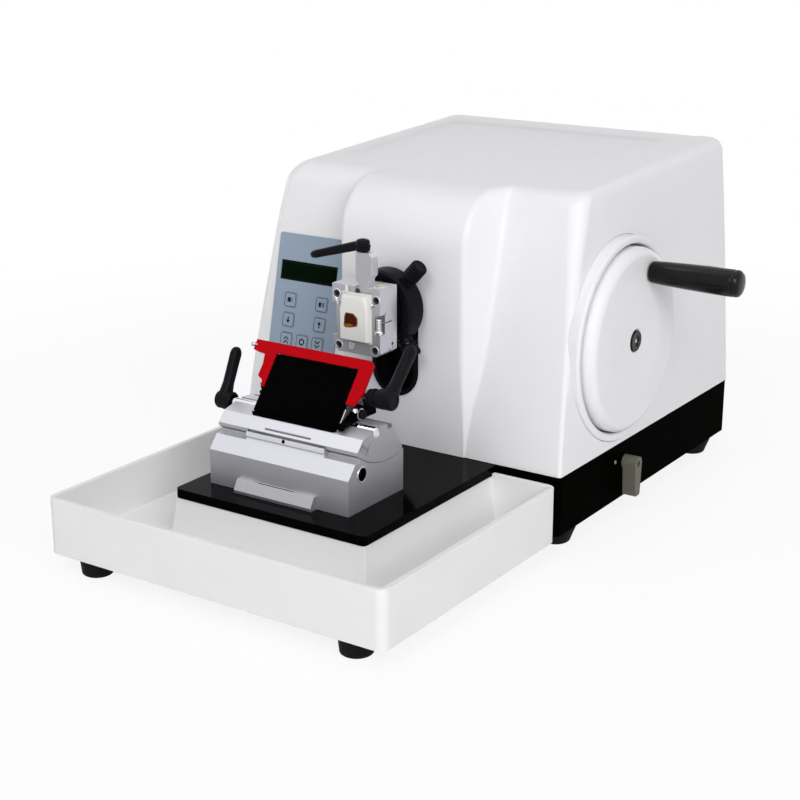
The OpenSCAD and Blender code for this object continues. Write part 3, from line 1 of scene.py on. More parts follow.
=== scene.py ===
"""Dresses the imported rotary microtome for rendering. Metres, +X right, +Y back, +Z up."""
import bpy
import bmesh
import json
import math
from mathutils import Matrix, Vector


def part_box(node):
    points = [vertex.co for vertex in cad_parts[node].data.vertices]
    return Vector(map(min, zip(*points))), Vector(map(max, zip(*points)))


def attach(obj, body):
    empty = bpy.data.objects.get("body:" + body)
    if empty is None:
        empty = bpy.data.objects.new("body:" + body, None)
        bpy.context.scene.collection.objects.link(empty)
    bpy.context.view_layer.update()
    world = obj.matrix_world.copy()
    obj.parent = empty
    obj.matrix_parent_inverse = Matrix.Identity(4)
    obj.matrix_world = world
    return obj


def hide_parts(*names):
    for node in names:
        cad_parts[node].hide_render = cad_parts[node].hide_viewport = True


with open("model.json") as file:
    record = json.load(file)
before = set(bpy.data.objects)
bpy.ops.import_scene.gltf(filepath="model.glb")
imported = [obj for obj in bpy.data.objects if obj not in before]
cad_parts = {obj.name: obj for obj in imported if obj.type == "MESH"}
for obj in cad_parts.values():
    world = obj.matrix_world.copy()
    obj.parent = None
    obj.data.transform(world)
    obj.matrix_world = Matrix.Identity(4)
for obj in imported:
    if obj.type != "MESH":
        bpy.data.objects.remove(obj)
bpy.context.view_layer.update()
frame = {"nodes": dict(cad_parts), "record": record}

MM = 0.001
TRAY_BACK_Y = 2.4  # the tray's back edge in the machine frame, mm
_tray_low, _tray_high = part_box("waste_tray")
# The machine frame of the CAD source: x = 0 in the middle of the tray, y = 0 near its back edge
OX = (_tray_low[0] + _tray_high[0]) / 2
OY = _tray_high[1] - TRAY_BACK_Y * MM


def at(x, y, z):
    """A point of the machine frame, in millimetres, as a point of the scene."""
    return Vector((OX + x * MM, OY + y * MM, z * MM))


# ---- materials

# Noise lies mostly in this span, so a spread of tone or roughness is laid over it
NOISE_SPAN = (0.3, 0.7)
TONE_COARSER = 40.0  # the noise of the tone against the grain's
GRAIN_DETAIL, TONE_DETAIL = 3.0, 4.0


def new_material(name):
    m = bpy.data.materials.new(name)
    m.use_nodes = True
    return m, m.node_tree, m.node_tree.nodes["Principled BSDF"]


def coords(tree, scale):
    c = tree.nodes.new("ShaderNodeTexCoord")
    m = tree.nodes.new("ShaderNodeMapping")
    m.inputs["Scale"].default_value = scale
    tree.links.new(c.outputs["Object"], m.inputs["Vector"])
    return m.outputs["Vector"]


def noise(tree, vector, scale, detail):
    n = tree.nodes.new("ShaderNodeTexNoise")
    n.inputs["Scale"].default_value = scale
    n.inputs["Detail"].default_value = detail
    tree.links.new(vector, n.inputs["Vector"])
    return n.outputs["Fac"]


def remap(tree, value, source, target):
    """A node that maps one span of a value to another."""
    r = tree.nodes.new("ShaderNodeMapRange")
    for socket, number in zip(("From Min", "From Max", "To Min", "To Max"), (*source, *target)):
        r.inputs[socket].default_value = number
    tree.links.new(value, r.inputs["Value"])
    return r


def two_tone(tree, value, tones):
    r = tree.nodes.new("ShaderNodeValToRGB")
    for stop, place, tone in zip(r.color_ramp.elements, NOISE_SPAN, tones):
        stop.position = place
        stop.color = (*tone, 1)
    tree.links.new(value, r.inputs["Fac"])
    return r.outputs["Color"]


def bump(tree, shader, height, distance):
    b = tree.nodes.new("ShaderNodeBump")
    b.inputs["Distance"].default_value = distance
    tree.links.new(height, b.inputs["Height"])
    tree.links.new(b.outputs["Normal"], shader.inputs["Normal"])


def finish_material(key, color, rough, vary, tone, relief, grain, specular, metallic=0.0,
                    scale=(1, 1, 1)):
    """A surface with a fine grain in its roughness, its tone and its relief."""
    m, tree, shader = new_material(key.title().replace("_", ""))
    v = coords(tree, scale)
    fine = noise(tree, v, grain, GRAIN_DETAIL)
    broad = noise(tree, v, grain / TONE_COARSER, TONE_DETAIL)
    dark = tuple(c * (1 - tone) for c in color)
    light = tuple(min(1.0, c * (1 + tone)) for c in color)
    spread = remap(tree, fine, NOISE_SPAN, (rough - vary, rough + vary))
    tree.links.new(two_tone(tree, broad, (dark, light)), shader.inputs["Base Color"])
    tree.links.new(spread.outputs["Result"], shader.inputs["Roughness"])
    shader.inputs["Metallic"].default_value = metallic
    shader.inputs["Specular IOR Level"].default_value = specular
    bump(tree, shader, fine, relief * MM)
    return m


# Colour, roughness and its spread, the tone's spread, relief in mm, grain per metre, specular
# level, and where they aren't plain the share of metal and the grain's scale along each axis
FINISHES = {
    "housing_white": ((0.80, 0.80, 0.82), 0.40, 0.03, 0.008, 0.004, 1400, 0.18),
    "tray_white": ((0.79, 0.79, 0.795), 0.46, 0.04, 0.012, 0.006, 1100, 0.18),
    "base_black": ((0.0008, 0.0008, 0.0006), 0.5, 0.05, 0.2, 0.012, 1500, 0.0015),
    "tongue_black": ((0.001, 0.001, 0.0015), 0.10, 0.03, 0.2, 0.002, 900, 0.02),
    "rubber": ((0.006, 0.006, 0.006), 0.7, 0.08, 0.2, 0.03, 1200, 0.08),
    "black_plastic": ((0.005, 0.005, 0.007), 0.40, 0.06, 0.2, 0.02, 1600, 0.06),
    "gloss_black": ((0.0015, 0.0015, 0.002), 0.2, 0.02, 0.2, 0.003, 700, 0.2),
    "aluminium": ((0.40, 0.402, 0.425), 0.42, 0.03, 0.015, 0.003, 900, 0.5, 0.75, (0.12, 1, 1)),
    # The lighter aluminium is painted light on the up-turned faces of the holder, rocker and clamp,
    # and it also colours small bright parts
    "aluminium_light": ((0.64, 0.64, 0.69), 0.40, 0.03, 0.012, 0.003, 900, 0.5, 0.75, (0.12, 1, 1)),
    "steel": ((0.5, 0.505, 0.52), 0.28, 0.05, 0.03, 0.004, 500, 0.5, 1.0, (1, 1, 0.1)),
    "blade_steel": ((0.60, 0.61, 0.63), 0.24, 0.03, 0.01, 0.0005, 300, 0.5, 1.0, (0.08, 1, 1)),
    "chrome": ((0.82, 0.83, 0.85), 0.1, 0.02, 0.01, 0.0005, 500, 0.5, 1.0),
    "dark_steel": ((0.16, 0.18, 0.20), 0.45, 0.08, 0.1, 0.03, 500, 0.3),
    "black_steel": ((0.035, 0.035, 0.04), 0.38, 0.08, 0.1, 0.006, 700, 0.5, 0.6),
    "guard_red": ((0.44, 0.001, 0.005), 0.30, 0.03, 0.03, 0.003, 900, 0.05),
    "plate_black": ((0.0006, 0.0006, 0.0007), 0.34, 0.05, 0.2, 0.003, 900, 0.008, 0.0, (0.1, 1, 1)),
    "panel_blue": ((0.285, 0.355, 0.445), 0.42, 0.04, 0.015, 0.003, 1500, 0.2),
    "display": ((0.002, 0.004, 0.002), 0.14, 0.02, 0.4, 0.0005, 300, 0.06),
    "lcd": ((0.0008, 0.0050, 0.0012), 0.16, 0.03, 0.5, 0.0005, 220, 0.012),
    "lever_grey": ((0.125, 0.122, 0.098), 0.42, 0.06, 0.06, 0.02, 900, 0.15),
    "cassette_plastic": ((0.7, 0.7, 0.68), 0.46, 0.05, 0.02, 0.006, 900, 0.2),
    "wax": ((0.74, 0.735, 0.71), 0.42, 0.05, 0.03, 0.012, 400, 0.2),
    "tissue": ((0.075, 0.009, 0.002), 0.45, 0.08, 0.45, 0.03, 260, 0.1),
    "tissue_pale": ((0.22, 0.06, 0.012), 0.5, 0.08, 0.3, 0.03, 260, 0.1),
    "tissue_light": ((0.33, 0.13, 0.014), 0.5, 0.08, 0.3, 0.03, 260, 0.1),
    "board": ((0.02, 0.11, 0.05), 0.35, 0.05, 0.2, 0.001, 300, 0.3),
    "ink": ((0.010, 0.016, 0.035), 0.5, 0.05, 0.1, 0.001, 900, 0.06),
    "scale_ink": ((0.05, 0.05, 0.055), 0.5, 0.05, 0.1, 0.001, 900, 0.1),
    "pad_green": ((0.50, 0.58, 0.10), 0.5, 0.05, 0.06, 0.004, 900, 0.2),
    "lining": ((0.14, 0.10, 0.06), 0.8, 0.05, 0.2, 0.05, 700, 0.5),
}
MAT = {key: finish_material(key, *values) for key, values in FINISHES.items()}

# The nodes of the frame by material, also those that a piece replaces further down
MATERIAL_NODES = {
    "base_black": ["base_plinth"],
    "tongue_black": ["tongue_plate"],
    "tray_white": ["waste_tray"],
    "rubber": ["base_feet", "tray_feet"],
    "housing_white": ["housing_shell", "wheel_recess", "handwheel"],
    "panel_blue": ["keypad_panel", "section_key", "trim_key", "down_key", "up_key", "fast_up_key",
                   "home_key", "fast_down_key"],
    "display": ["display_window"],
    "board": ["control_board"],
    "dark_steel": ["bottom_cover", "frame_casting", "crank_yoke"],
    "steel": ["base_screws", "power_supply", "shaft_bearings", "crankshaft", "crank_roller",
              "grip_spindle", "feed_screw", "clamp_screws"],
    "chrome": ["guide_rods", "clamp_rod"],
    "gloss_black": ["hub_cap", "handwheel_grip"],
    "lever_grey": ["lock_lever"],
    "lining": ["brake_shoe"],
    "black_plastic": ["slot_bezel", "power_inlet", "power_rocker", "slot_shutter", "feed_motor",
                      "specimen_cylinder", "head_disc", "tilt_ring", "jaw_lever", "tilt_knob",
                      "swivel_knob", "rocker_screw", "lateral_lever", "blade_lever"],
    "aluminium": ["slide_carriage", "holder_base", "rocker_segment", "blade_carrier"],
    "aluminium_light": ["clamp_body", "clamp_jaw"],
    "cassette_plastic": ["specimen_cassette"],
    "wax": ["specimen_block"],
    "plate_black": ["pressure_plate"],
    "blade_steel": ["blade"],
    "guard_red": ["finger_guard"],
}
for key, nodes in MATERIAL_NODES.items():
    for node in nodes:
        mesh = frame["nodes"][node].data
        mesh.materials.clear()
        mesh.materials.append(MAT[key])


# ---- shape helpers
# Lengths are in millimetres of the machine frame from here on

ORIGIN = (0, 0, 0)
RIGHT, FRONT, UP = (1, 0, 0), (0, -1, 0), (0, 0, 1)
LAY = {"x": lambda u, v, a: (a, u, v), "y": lambda u, v, a: (u, a, v),
       "z": lambda u, v, a: (u, v, a)}
WELD, FRAME_WELD = 2e-7, 2e-6  # points as close as this become one, metres
FLAT_DEGREES = 0.5
LEAST_RADIUS = 0.0005  # in place of a point on the axis


def link(name, data):
    """A new object in the scene."""
    ob = bpy.data.objects.new(name, data)
    bpy.context.scene.collection.objects.link(ob)
    return ob


def put(name, verts, faces):
    mesh = bpy.data.meshes.new(name)
    mesh.from_pydata([at(*v) for v in verts], [], faces)
    b = bmesh.new()
    b.from_mesh(mesh)
    bmesh.ops.remove_doubles(b, verts=b.verts, dist=WELD)
    bmesh.ops.recalc_face_normals(b, faces=b.faces)
    b.to_mesh(mesh)
    b.free()
    return link(name, mesh)


def stack(name, rings, caps=True, loop=False):
    """Rings of equal length joined into one closed skin."""
    n = len(rings[0])
    k = len(rings)
    verts = [p for ring in rings for p in ring]
    faces = []
    for j in range(k if loop else k - 1):
        a, b = j * n, ((j + 1) % k) * n
        for i in range(n):
            i2 = (i + 1) % n
            faces.append([a + i, a + i2, b + i2, b + i])
    if caps and not loop:
        faces.append(list(range(n - 1, -1, -1)))
        faces.append(list(range((k - 1) * n, k * n)))
    return put(name, verts, faces)


def prism(name, outline, axis, a0, a1):
    return stack(name, [[LAY[axis](u, v, a) for u, v in outline] for a in (a0, a1)])


def block(name, x0, x1, y0, y1, z0, z1):
    return prism(name, [(x0, y0), (x1, y0), (x1, y1), (x0, y1)], "z", z0, z1)


def turned(name, profile, centre, direction, n=64, loop=False):
    """A turned piece: (radius, distance) pairs about a line through centre."""
    d = Vector(direction).normalized()
    side = d.orthogonal().normalized()
    up = d.cross(side)
    c = Vector(centre)
    turns = [(math.cos(2 * math.pi * i / n), math.sin(2 * math.pi * i / n)) for i in range(n)]
    rings = []
    for r, a in profile:
        r = max(r, LEAST_RADIUS)
        rings.append([tuple(c + d * a + (side * cs + up * sn) * r) for cs, sn in turns])
    return stack(name, rings, loop=loop)


def rod(name, p, q, dia, n=32):
    p, q = Vector(p), Vector(q)
    return turned(name, [(dia / 2, 0), (dia / 2, (q - p).length)], p, q - p, n)


def arc(cx, cy, r, a0, a1, n):
    return [(cx + r * math.cos(math.radians(a0 + (a1 - a0) * i / n)),
             cy + r * math.sin(math.radians(a0 + (a1 - a0) * i / n))) for i in range(n + 1)]


def round_rect(x0, x1, y0, y1, r, n=6):
    return (arc(x0 + r, y0 + r, r, 180, 270, n) + arc(x1 - r, y0 + r, r, 270, 360, n)
            + arc(x1 - r, y1 - r, r, 0, 90, n) + arc(x0 + r, y1 - r, r, 90, 180, n))


def stadium(cx, low, high, r, n=24):
    return arc(cx, low, r, 180, 360, n) + arc(cx, high, r, 0, 180, n)


def bake(ob):
    """Applies the object's modifiers."""
    dg = bpy.context.evaluated_depsgraph_get()
    mesh = bpy.data.meshes.new_from_object(ob.evaluated_get(dg))
    ob.modifiers.clear()
    ob.data = mesh


def boolean(ob, tools, how):
    for tool in tools:
        m = ob.modifiers.new("Boolean", "BOOLEAN")
        m.operation = how
        m.solver = "EXACT"
        m.object = tool
        bake(ob)
        bpy.data.objects.remove(tool)
    return ob


def cut(ob, *tools):
    return boolean(ob, tools, "DIFFERENCE")


def fuse(ob, *tools):
    return boolean(ob, tools, "UNION")


def placed_by(ob, origin, rows):
    """Moves a piece built in a local frame (rows: its u, v and w axes) into the machine frame."""
    u, v, w = (Vector(r) for r in rows)
    o = Vector(origin)
    zero = at(0, 0, 0)
    for vert in ob.data.vertices:
        p = (vert.co - zero) / MM
        vert.co = at(*(o + u * p.x + v * p.y + w * p.z))
    b = bmesh.new()
    b.from_mesh(ob.data)
    bmesh.ops.recalc_face_normals(b, faces=b.faces)
    b.to_mesh(ob.data)
    b.free()
    return ob


SLOT_OF = {s["node"]: s.get("material_slot") for s in frame["record"]["subparts"]}
BODY_OF = {n: b for b, ns in frame["record"]["behaviour"]["bodies"].items() for n in ns}


def dress(ob, body, mat, nodes=(), slot=None, bevel=0.0, segments=2, angle=30, shade=38,
          ground=None):
    """Rounds the edges, sets the shading and the material, and hangs the piece on its body.
    ground is a pair (material, test): a face gets that material if its middle (mm) and its
    normal pass the test."""
    if bevel:
        m = ob.modifiers.new("Bevel", "BEVEL")
        m.width = bevel * MM
        m.segments = segments
        m.limit_method = "ANGLE"
        m.angle_limit = math.radians(angle)
        m.use_clamp_overlap = True
        bake(ob)
    ob.data.materials.clear()
    ob.data.materials.append(MAT[mat])
    for f in ob.data.polygons:
        f.use_smooth = True
    if ground:
        ob.data.materials.append(MAT[ground[0]])
        zero = at(0, 0, 0)
        for f in ob.data.polygons:
            if ground[1]((f.center - zero) / MM, f.normal):
                f.material_index = 1
    ob.data.set_sharp_from_angle(angle=math.radians(shade))
    m = ob.modifiers.new("Normals", "WEIGHTED_NORMAL")
    m.keep_sharp = True
    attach(ob, body)
    if nodes:
        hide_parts(*nodes)


# ---- pieces taken from the frame

def copy_of(node):
    """The frame's own mesh of a node as a new object: welded, and its flats joined."""
    mesh = frame["nodes"][node].data.copy()
    b = bmesh.new()
    b.from_mesh(mesh)
    bmesh.ops.remove_doubles(b, verts=b.verts, dist=FRAME_WELD)
    bmesh.ops.dissolve_limit(b, angle_limit=math.radians(FLAT_DEGREES), verts=b.verts,
                             edges=b.edges)
    bmesh.ops.recalc_face_normals(b, faces=b.faces)
    b.to_mesh(mesh)
    b.free()
    if "custom_normal" in mesh.attributes:
        mesh.attributes.remove(mesh.attributes["custom_normal"])
    return link(node + "_dressed", mesh)


def edged(node, mat, bevel, segments=2, ground=None):
    """A node shown as itself with rounded edges."""
    dress(copy_of(node), BODY_OF[node], mat, [node], SLOT_OF.get(node), bevel, segments,
          ground=ground)


# ---- housing

WHEEL = (0, 110, 156)    # the handwheel's axis, along X
HEAD_X, HEAD_Z = 2, 187  # the specimen head's axis, along Y
BASE_TOP, TOP = 66.2, 283.5
SKIN = 3.5
# Half the width and the back, at the base, and how far each comes in per mm of height
HALF_W, SIDE_SLOPE = 158.3, 0.0505
BACK_Y, BACK_SLOPE = 331.4, 0.03
# The front leans back by another slope above each bend
FRONT_AT_BASE, LOW_BEND, HIGH_BEND = 4.5, 100.2, 240.2
LOW_SLOPE, FRONT_SLOPE, HIGH_SLOPE = 0.12, 0.216, 0.28
# The top leans too, and lies at TOP where y is LEVEL_Y
TOP_SLOPE, LEVEL_Y = 0.05, 60
# The upright middle of the front, which rounds back over the top about a line at ROUND_Y, ROUND_Z
MIDDLE_LEFT, MIDDLE_RIGHT = -54.7, 69
ROUND_Y, ROUND_Z, ROUND_R = 48.6, 238.5, 45.0
# The outline's eight corners in turn: their steps, and the top edge's radius over each
OUTLINE_STEPS = (7, 5, 6, 5, 5, 8, 8, 8)
TOP_ROUNDS = ((18, 18), (18, 14), (10, 8), (8, 8), (8, 12), (12, 8), (8, 20), (20, 18))


def front_y(z):
    return (FRONT_AT_BASE + LOW_SLOPE * (min(z, LOW_BEND) - BASE_TOP)
            + FRONT_SLOPE * (max(min(z, HIGH_BEND), LOW_BEND) - LOW_BEND)
            + HIGH_SLOPE * max(0, z - HIGH_BEND))


def half_w(z):
    return HALF_W - SIDE_SLOPE * (z - BASE_TOP)


def back_y(z):
    return BACK_Y - BACK_SLOPE * (z - BASE_TOP)


def middle_y(z):
    rise = min(max(z - ROUND_Z, 0), ROUND_R - 0.1)
    return ROUND_Y - math.sqrt(ROUND_R ** 2 - rise ** 2)


def housing_outline(z, inset, skin):
    """The outline at a height, moved in by the top edge's round and by the wall."""
    w = half_w(z) - inset - skin
    yf = front_y(z) + inset + skin
    depth = max(0.8, front_y(z) + inset - middle_y(z))
    yb = yf - depth
    back = back_y(z) - inset - skin
    # Radii: the housing's corners, which grow with height, the middle's outer and inner ones
    rc = max(2, 3 + 11 * ((z - BASE_TOP) / 200) ** 2 - inset / 2 - skin)
    rv, rf = min(6, 0.4 * depth), min(5, 0.4 * depth)
    left, right = MIDDLE_LEFT + skin, MIDDLE_RIGHT - skin
    # The middle's right side slants: t points along it, n out of it
    run = min(12.5, 0.8 * depth)
    size = math.hypot(run, depth)
    t = (run / size, depth / size)
    n = (t[1], -t[0])
    tilt = math.degrees(math.atan2(-run, depth))
    p1 = (right - rv + rv * n[0], yb + rv + rv * n[1])
    s = (yf - rf - rf * n[1] - p1[1]) / t[1]
    c2 = (p1[0] + s * t[0] + rf * n[0], p1[1] + s * t[1] + rf * n[1])
    corners = ((-w + rc, yf + rc, rc, 180, 270), (left - rf, yf - rf, rf, 90, 0),
               (left + rv, yb + rv, rv, 180, 270), (right - rv, yb + rv, rv, 270, 360 + tilt),
               (c2[0], c2[1], rf, 180 + tilt, 90), (w - rc, yf + rc, rc, 270, 360),
               (w - rc, back - rc, rc, 0, 90), (-w + rc, back - rc, rc, 90, 180))
    return [p for corner, steps in zip(corners, OUTLINE_STEPS) for p in arc(*corner, steps)]


def housing_rings(skin):
    """Outlines from the base up to the top edge, then ten degrees at a time round that edge."""
    rounds = []
    for steps, (r0, r1) in zip(OUTLINE_STEPS, TOP_ROUNDS):
        rounds += [r0 + (r1 - r0) * i / steps for i in range(steps + 1)]
    levels = [0.0, 0.008] + [0.1 * i for i in range(1, 8)]
    levels += [0.75, 0.79, 0.82, 0.85, 0.88, 0.905, 0.93, 0.955, 0.98, 1.0]
    phases = [(u, 0) for u in levels] + [(1, 10 * i) for i in range(1, 10)]
    rings = []
    for u, a in phases:
        sn, cs = math.sin(math.radians(a)), math.cos(math.radians(a))
        ring = []
        for i, r in enumerate(rounds):
            z = BASE_TOP + u * (TOP - r - BASE_TOP) + (r - skin) * sn
            x, y = housing_outline(z, (r - skin) * (1 - cs), skin)[i]
            share = (z - BASE_TOP) / (TOP - BASE_TOP)
            ring.append((x, y, z + share * TOP_SLOPE * (y - LEVEL_Y)))
        rings.append(ring)
    return rings


def housing():
    outer, inner = housing_rings(0), housing_rings(SKIN)
    n, k = len(outer[0]), len(outer)
    verts = [p for r in outer for p in r] + [p for r in inner for p in r]
    faces = []
    for side in (0, n * k):
        for j in range(k - 1):
            for i in range(n):
                a, b, i2 = side + j * n, side + (j + 1) * n, (i + 1) % n
                faces.append([a + i, a + i2, b + i2, b + i])
        faces.append([side + (k - 1) * n + i for i in range(n)])
    faces += [[i, (i + 1) % n, n * k + (i + 1) % n, n * k + i] for i in range(n)]
    ob = put("housing_skin", verts, faces)

    def lid(points, drop):
        return [(x, y, TOP + TOP_SLOPE * (y - LEVEL_Y) + drop) for x, y in points]
    wide = round_rect(-118, 112, 98, 280, 12, 8)
    small = round_rect(-113, 107, 103, 275, 8, 8)
    cut(ob, stack("lid_cut", [lid(small, -1.7), lid(wide, 0.02), lid(wide, 9)]),
        prism("slot_cut", stadium(HEAD_X, 130.7, 187.3, 20.6), "y", -2, 11),
        turned("wheel_cut", [(86.2, 125), (86.2, 170)], WHEEL, RIGHT, 128))
    dress(ob, "base", "housing_white", ["housing_shell"], "housing_white", shade=32)


def blade_carrier():
    """The carrier with its left foot cut back in two steps, and its front black."""
    carrier = copy_of("blade_carrier")
    cut(carrier, block("left_foot_cut", -46, -38.4, -142, -116.5, 126.2, 150),
        block("left_toe_cut", -46, -39.2, -142, -120, 118, 150))
    dress(carrier, "carrier", "aluminium", ["blade_carrier"], "aluminium", 0.4,
          ground=("plate_black", lambda c, n: c.y < -113.5))


housing()
# Painted light: these masks give the lighter aluminium to faces that turn up, and on the clamp also
# to faces that turn right, as lit copies of the plain aluminium
PAINTED_LIT_TOP = ("aluminium_light", lambda c, n: n.z > 0.5)
PAINTED_LIT_SLOPES = ("aluminium_light", lambda c, n: n.z > 0.3)
PAINTED_LIT_TOP_AND_SIDE = ("aluminium_light", lambda c, n: n.z > 0.5 or n.x > 0.5)
edged("base_plinth", "base_black", 0.9, 3)
edged("tongue_plate", "tongue_black", 0.8, 3)
edged("waste_tray", "tray_white", 1.3, 3)
edged("holder_base", "aluminium", 0.5, ground=PAINTED_LIT_TOP)
edged("rocker_segment", "aluminium", 0.5, ground=PAINTED_LIT_SLOPES)
edged("clamp_body", "aluminium", 0.5, ground=PAINTED_LIT_TOP_AND_SIDE)
edged("clamp_jaw", "aluminium", 0.5, ground=PAINTED_LIT_TOP_AND_SIDE)
blade_carrier()
edged("head_disc", "black_plastic", 0.6)
edged("lock_lever", "lever_grey", 0.6)
edged("specimen_cassette", "cassette_plastic", 0.4)


# ---- handwheel side

CRANK, GRIP_DEGREES = 58, 70  # the grip's axis from the wheel's, and its place at rest


def wheel_side():
    """The ring of the housing's recess, the wheel, its hub and its grip, as radii and X places."""
    ring = ([(15, 143), (82.2, 143), (85.8, 146)] + arc(83.6, 157.9, 2.2, 0, 90, 6)
            + arc(82, 157.1, 3, 90, 170, 6) + [(78.8, 147.5), (77.2, 145.4), (15, 145.4)])
    dress(turned("wheel_ring", ring, WHEEL, RIGHT, 144, loop=True), "base", "housing_white",
          ["wheel_recess"], "housing_white", shade=40)
    rim = ([(7, 152.2), (20, 152.2), (20, 158), (71, 158), (71, 153), (75.6, 153), (76.6, 153.7),
            (77, 155), (77, 158)] + arc(68.5, 160.5, 8.5, 0, 82, 10)
           + [(64, 168.96), (46, 169.0), (42.5, 168.9), (40, 168.5), (37, 168.3), (13, 168.0),
              (10.1, 167.8), (9.4, 167.2), (9.2, 165), (7, 165)])
    dress(turned("handwheel_disc", rim, WHEEL, RIGHT, 144, loop=True), "wheel", "housing_white",
          ["handwheel"], "housing_white", shade=50)
    cap = [(0, 165), (8.9, 165), (8.9, 168.2), (8.5, 168.8), (7.9, 168.9), (5.0, 168.7),
           (4.4, 167.9), (4.0, 167.6), (0, 167.6)]
    dress(turned("hub_button", cap, WHEEL, RIGHT, 64), "wheel", "gloss_black", ["hub_cap"],
          "black_plastic")
    screw = [(0, 167.3), (1.7, 167.3), (1.7, 168.0), (1.2, 168.4), (0, 168.45)]
    dress(turned("hub_screw", screw, WHEEL, RIGHT, 32), "wheel", "steel", slot="steel")
    turn = math.radians(GRIP_DEGREES)
    grip = (0, WHEEL[1] + CRANK * math.cos(turn), WHEEL[2] + CRANK * math.sin(turn))
    sleeve = [(4.1, 170), (7.4, 170), (8.6, 170.6), (9.1, 172), (9.4, 176), (9.9, 186), (10.5, 202),
              (11.0, 220), (11.2, 234), (11.2, 241.4), (10.75, 242.2), (11.0, 243), (11.1, 244.8),
              (10.6, 246.6), (9.2, 247.8), (7, 248.6), (3.4, 249), (0.2, 249), (0.2, 241.4),
              (4.1, 241.4)]
    dress(turned("grip_sleeve", sleeve, grip, RIGHT, 72, loop=True), "grip", "gloss_black",
          ["handwheel_grip"], "black_plastic", shade=46)


wheel_side()


# ---- clamp levers
# Each is built with its hub along X from a pivot and its arm along Z, then tipped into place

ROD_END = (HEAD_X - 71.6, -119.6, 122.3)
BLADE_PIVOT = (HEAD_X + 52, -108.4, 145.2)
JAW_PIVOT = (5.8, -47.4, 239.5)
LATERAL_TIP, BLADE_TIP, JAW_TIP = 25, -44, 106  # degrees
ARM_EDGES = (0.35, 2, 40, 45)  # bevel, its segments and the angles of dress()
OVAL_STEPS, OVAL_POWER = 28, 2.6


def tipped(degrees):
    """The axes of a frame turned about X."""
    c, s = math.cos(math.radians(degrees)), math.sin(math.radians(degrees))
    return [RIGHT, (0, c, s), (0, -s, c)]


def oval(cx, a, b, z):
    """A squarish oval about (cx, 0), a wide and b deep from its middle."""
    ring = []
    for i in range(OVAL_STEPS):
        t = 2 * math.pi * i / OVAL_STEPS
        c, s = math.cos(t), math.sin(t)
        ring.append((cx + a * math.copysign(abs(c) ** (2 / OVAL_POWER), c),
                     b * math.copysign(abs(s) ** (2 / OVAL_POWER), s), z))
    return ring


def lever_arm(name, cx, reach, root, neck, tip, thick_root, thick_tip):
    """An arm along +Z from a hub along X: it narrows to a neck, swells again and ends round."""
    steps = [(0.0, root, thick_root), (0.10, root * 0.99, thick_root),
             (0.2, (root + neck) / 2, thick_root), (0.32, neck, thick_root * 0.96),
             (0.5, neck + (tip - neck) * 0.35, (thick_root + thick_tip) / 2),
             (0.7, neck + (tip - neck) * 0.8, thick_tip), (0.86, tip, thick_tip)]
    rings = [oval(cx, t / 2, w / 2, u * reach) for u, w, t in steps]
    z0 = steps[-1][0] * reach
    for a in (20, 40, 58, 74, 85, 90):
        s, c = math.sin(math.radians(a)), max(0.06, math.cos(math.radians(a)))
        rings.append(oval(cx, thick_tip / 2 * (0.25 + 0.75 * c), tip / 2 * c,
                          z0 + (reach - z0) * s))
    return stack(name, rings)


def hub(name, length, dia):
    r = dia / 2
    profile = [(0, 0), (r * 0.72, 0), (r * 0.93, 0.25), (r, 1.2), (r, length * 0.55),
               (r * 0.97, length * 0.6), (r * 0.97, length - 1.4), (r * 0.88, length - 0.3),
               (r * 0.6, length), (r * 0.55, length - 0.7), (0, length - 0.7)]
    return turned(name, profile, ORIGIN, RIGHT, 48)


def teeth(name, x0, x1, r_in, r_out, count):
    """A ring of ratchet teeth about X."""
    outline = []
    for i in range(count * 4):
        r = r_out if i % 4 in (0, 1) else r_in
        a = 2 * math.pi * (i + 0.5) / (count * 4)
        outline.append((r * math.cos(a), r * math.sin(a)))
    return prism(name, outline, "x", x0, x1)


def lateral_lever():
    """Lateral clamp, on the left end of the rod: its hub points left."""
    rows = [(-r[0], -r[1], r[2]) for r in tipped(LATERAL_TIP)]
    arm = lever_arm("lateral_arm", 9.5, 43.2, 13.0, 8.6, 10.4, 8.6, 7.4)
    body = fuse(hub("lateral_hub", 14.6, 15), arm)
    dress(placed_by(body, ROD_END, rows), "rod", "black_plastic", ["lateral_lever"],
          "black_plastic", *ARM_EDGES)
    ratchet = teeth("lateral_teeth", 0, 1.9, 5.4, 6.4, 18)
    dress(placed_by(ratchet, ROD_END, rows), "rod", "black_plastic", slot="black_plastic")
    screw = turned("lateral_screw", [(0, 13.2), (3.1, 13.2), (3.1, 14.2), (2.7, 14.6),
                                     (1.7, 14.6), (1.5, 13.6), (0, 13.6)], ORIGIN, RIGHT, 24)
    dress(placed_by(screw, ROD_END, rows), "rod", "steel", slot="steel")


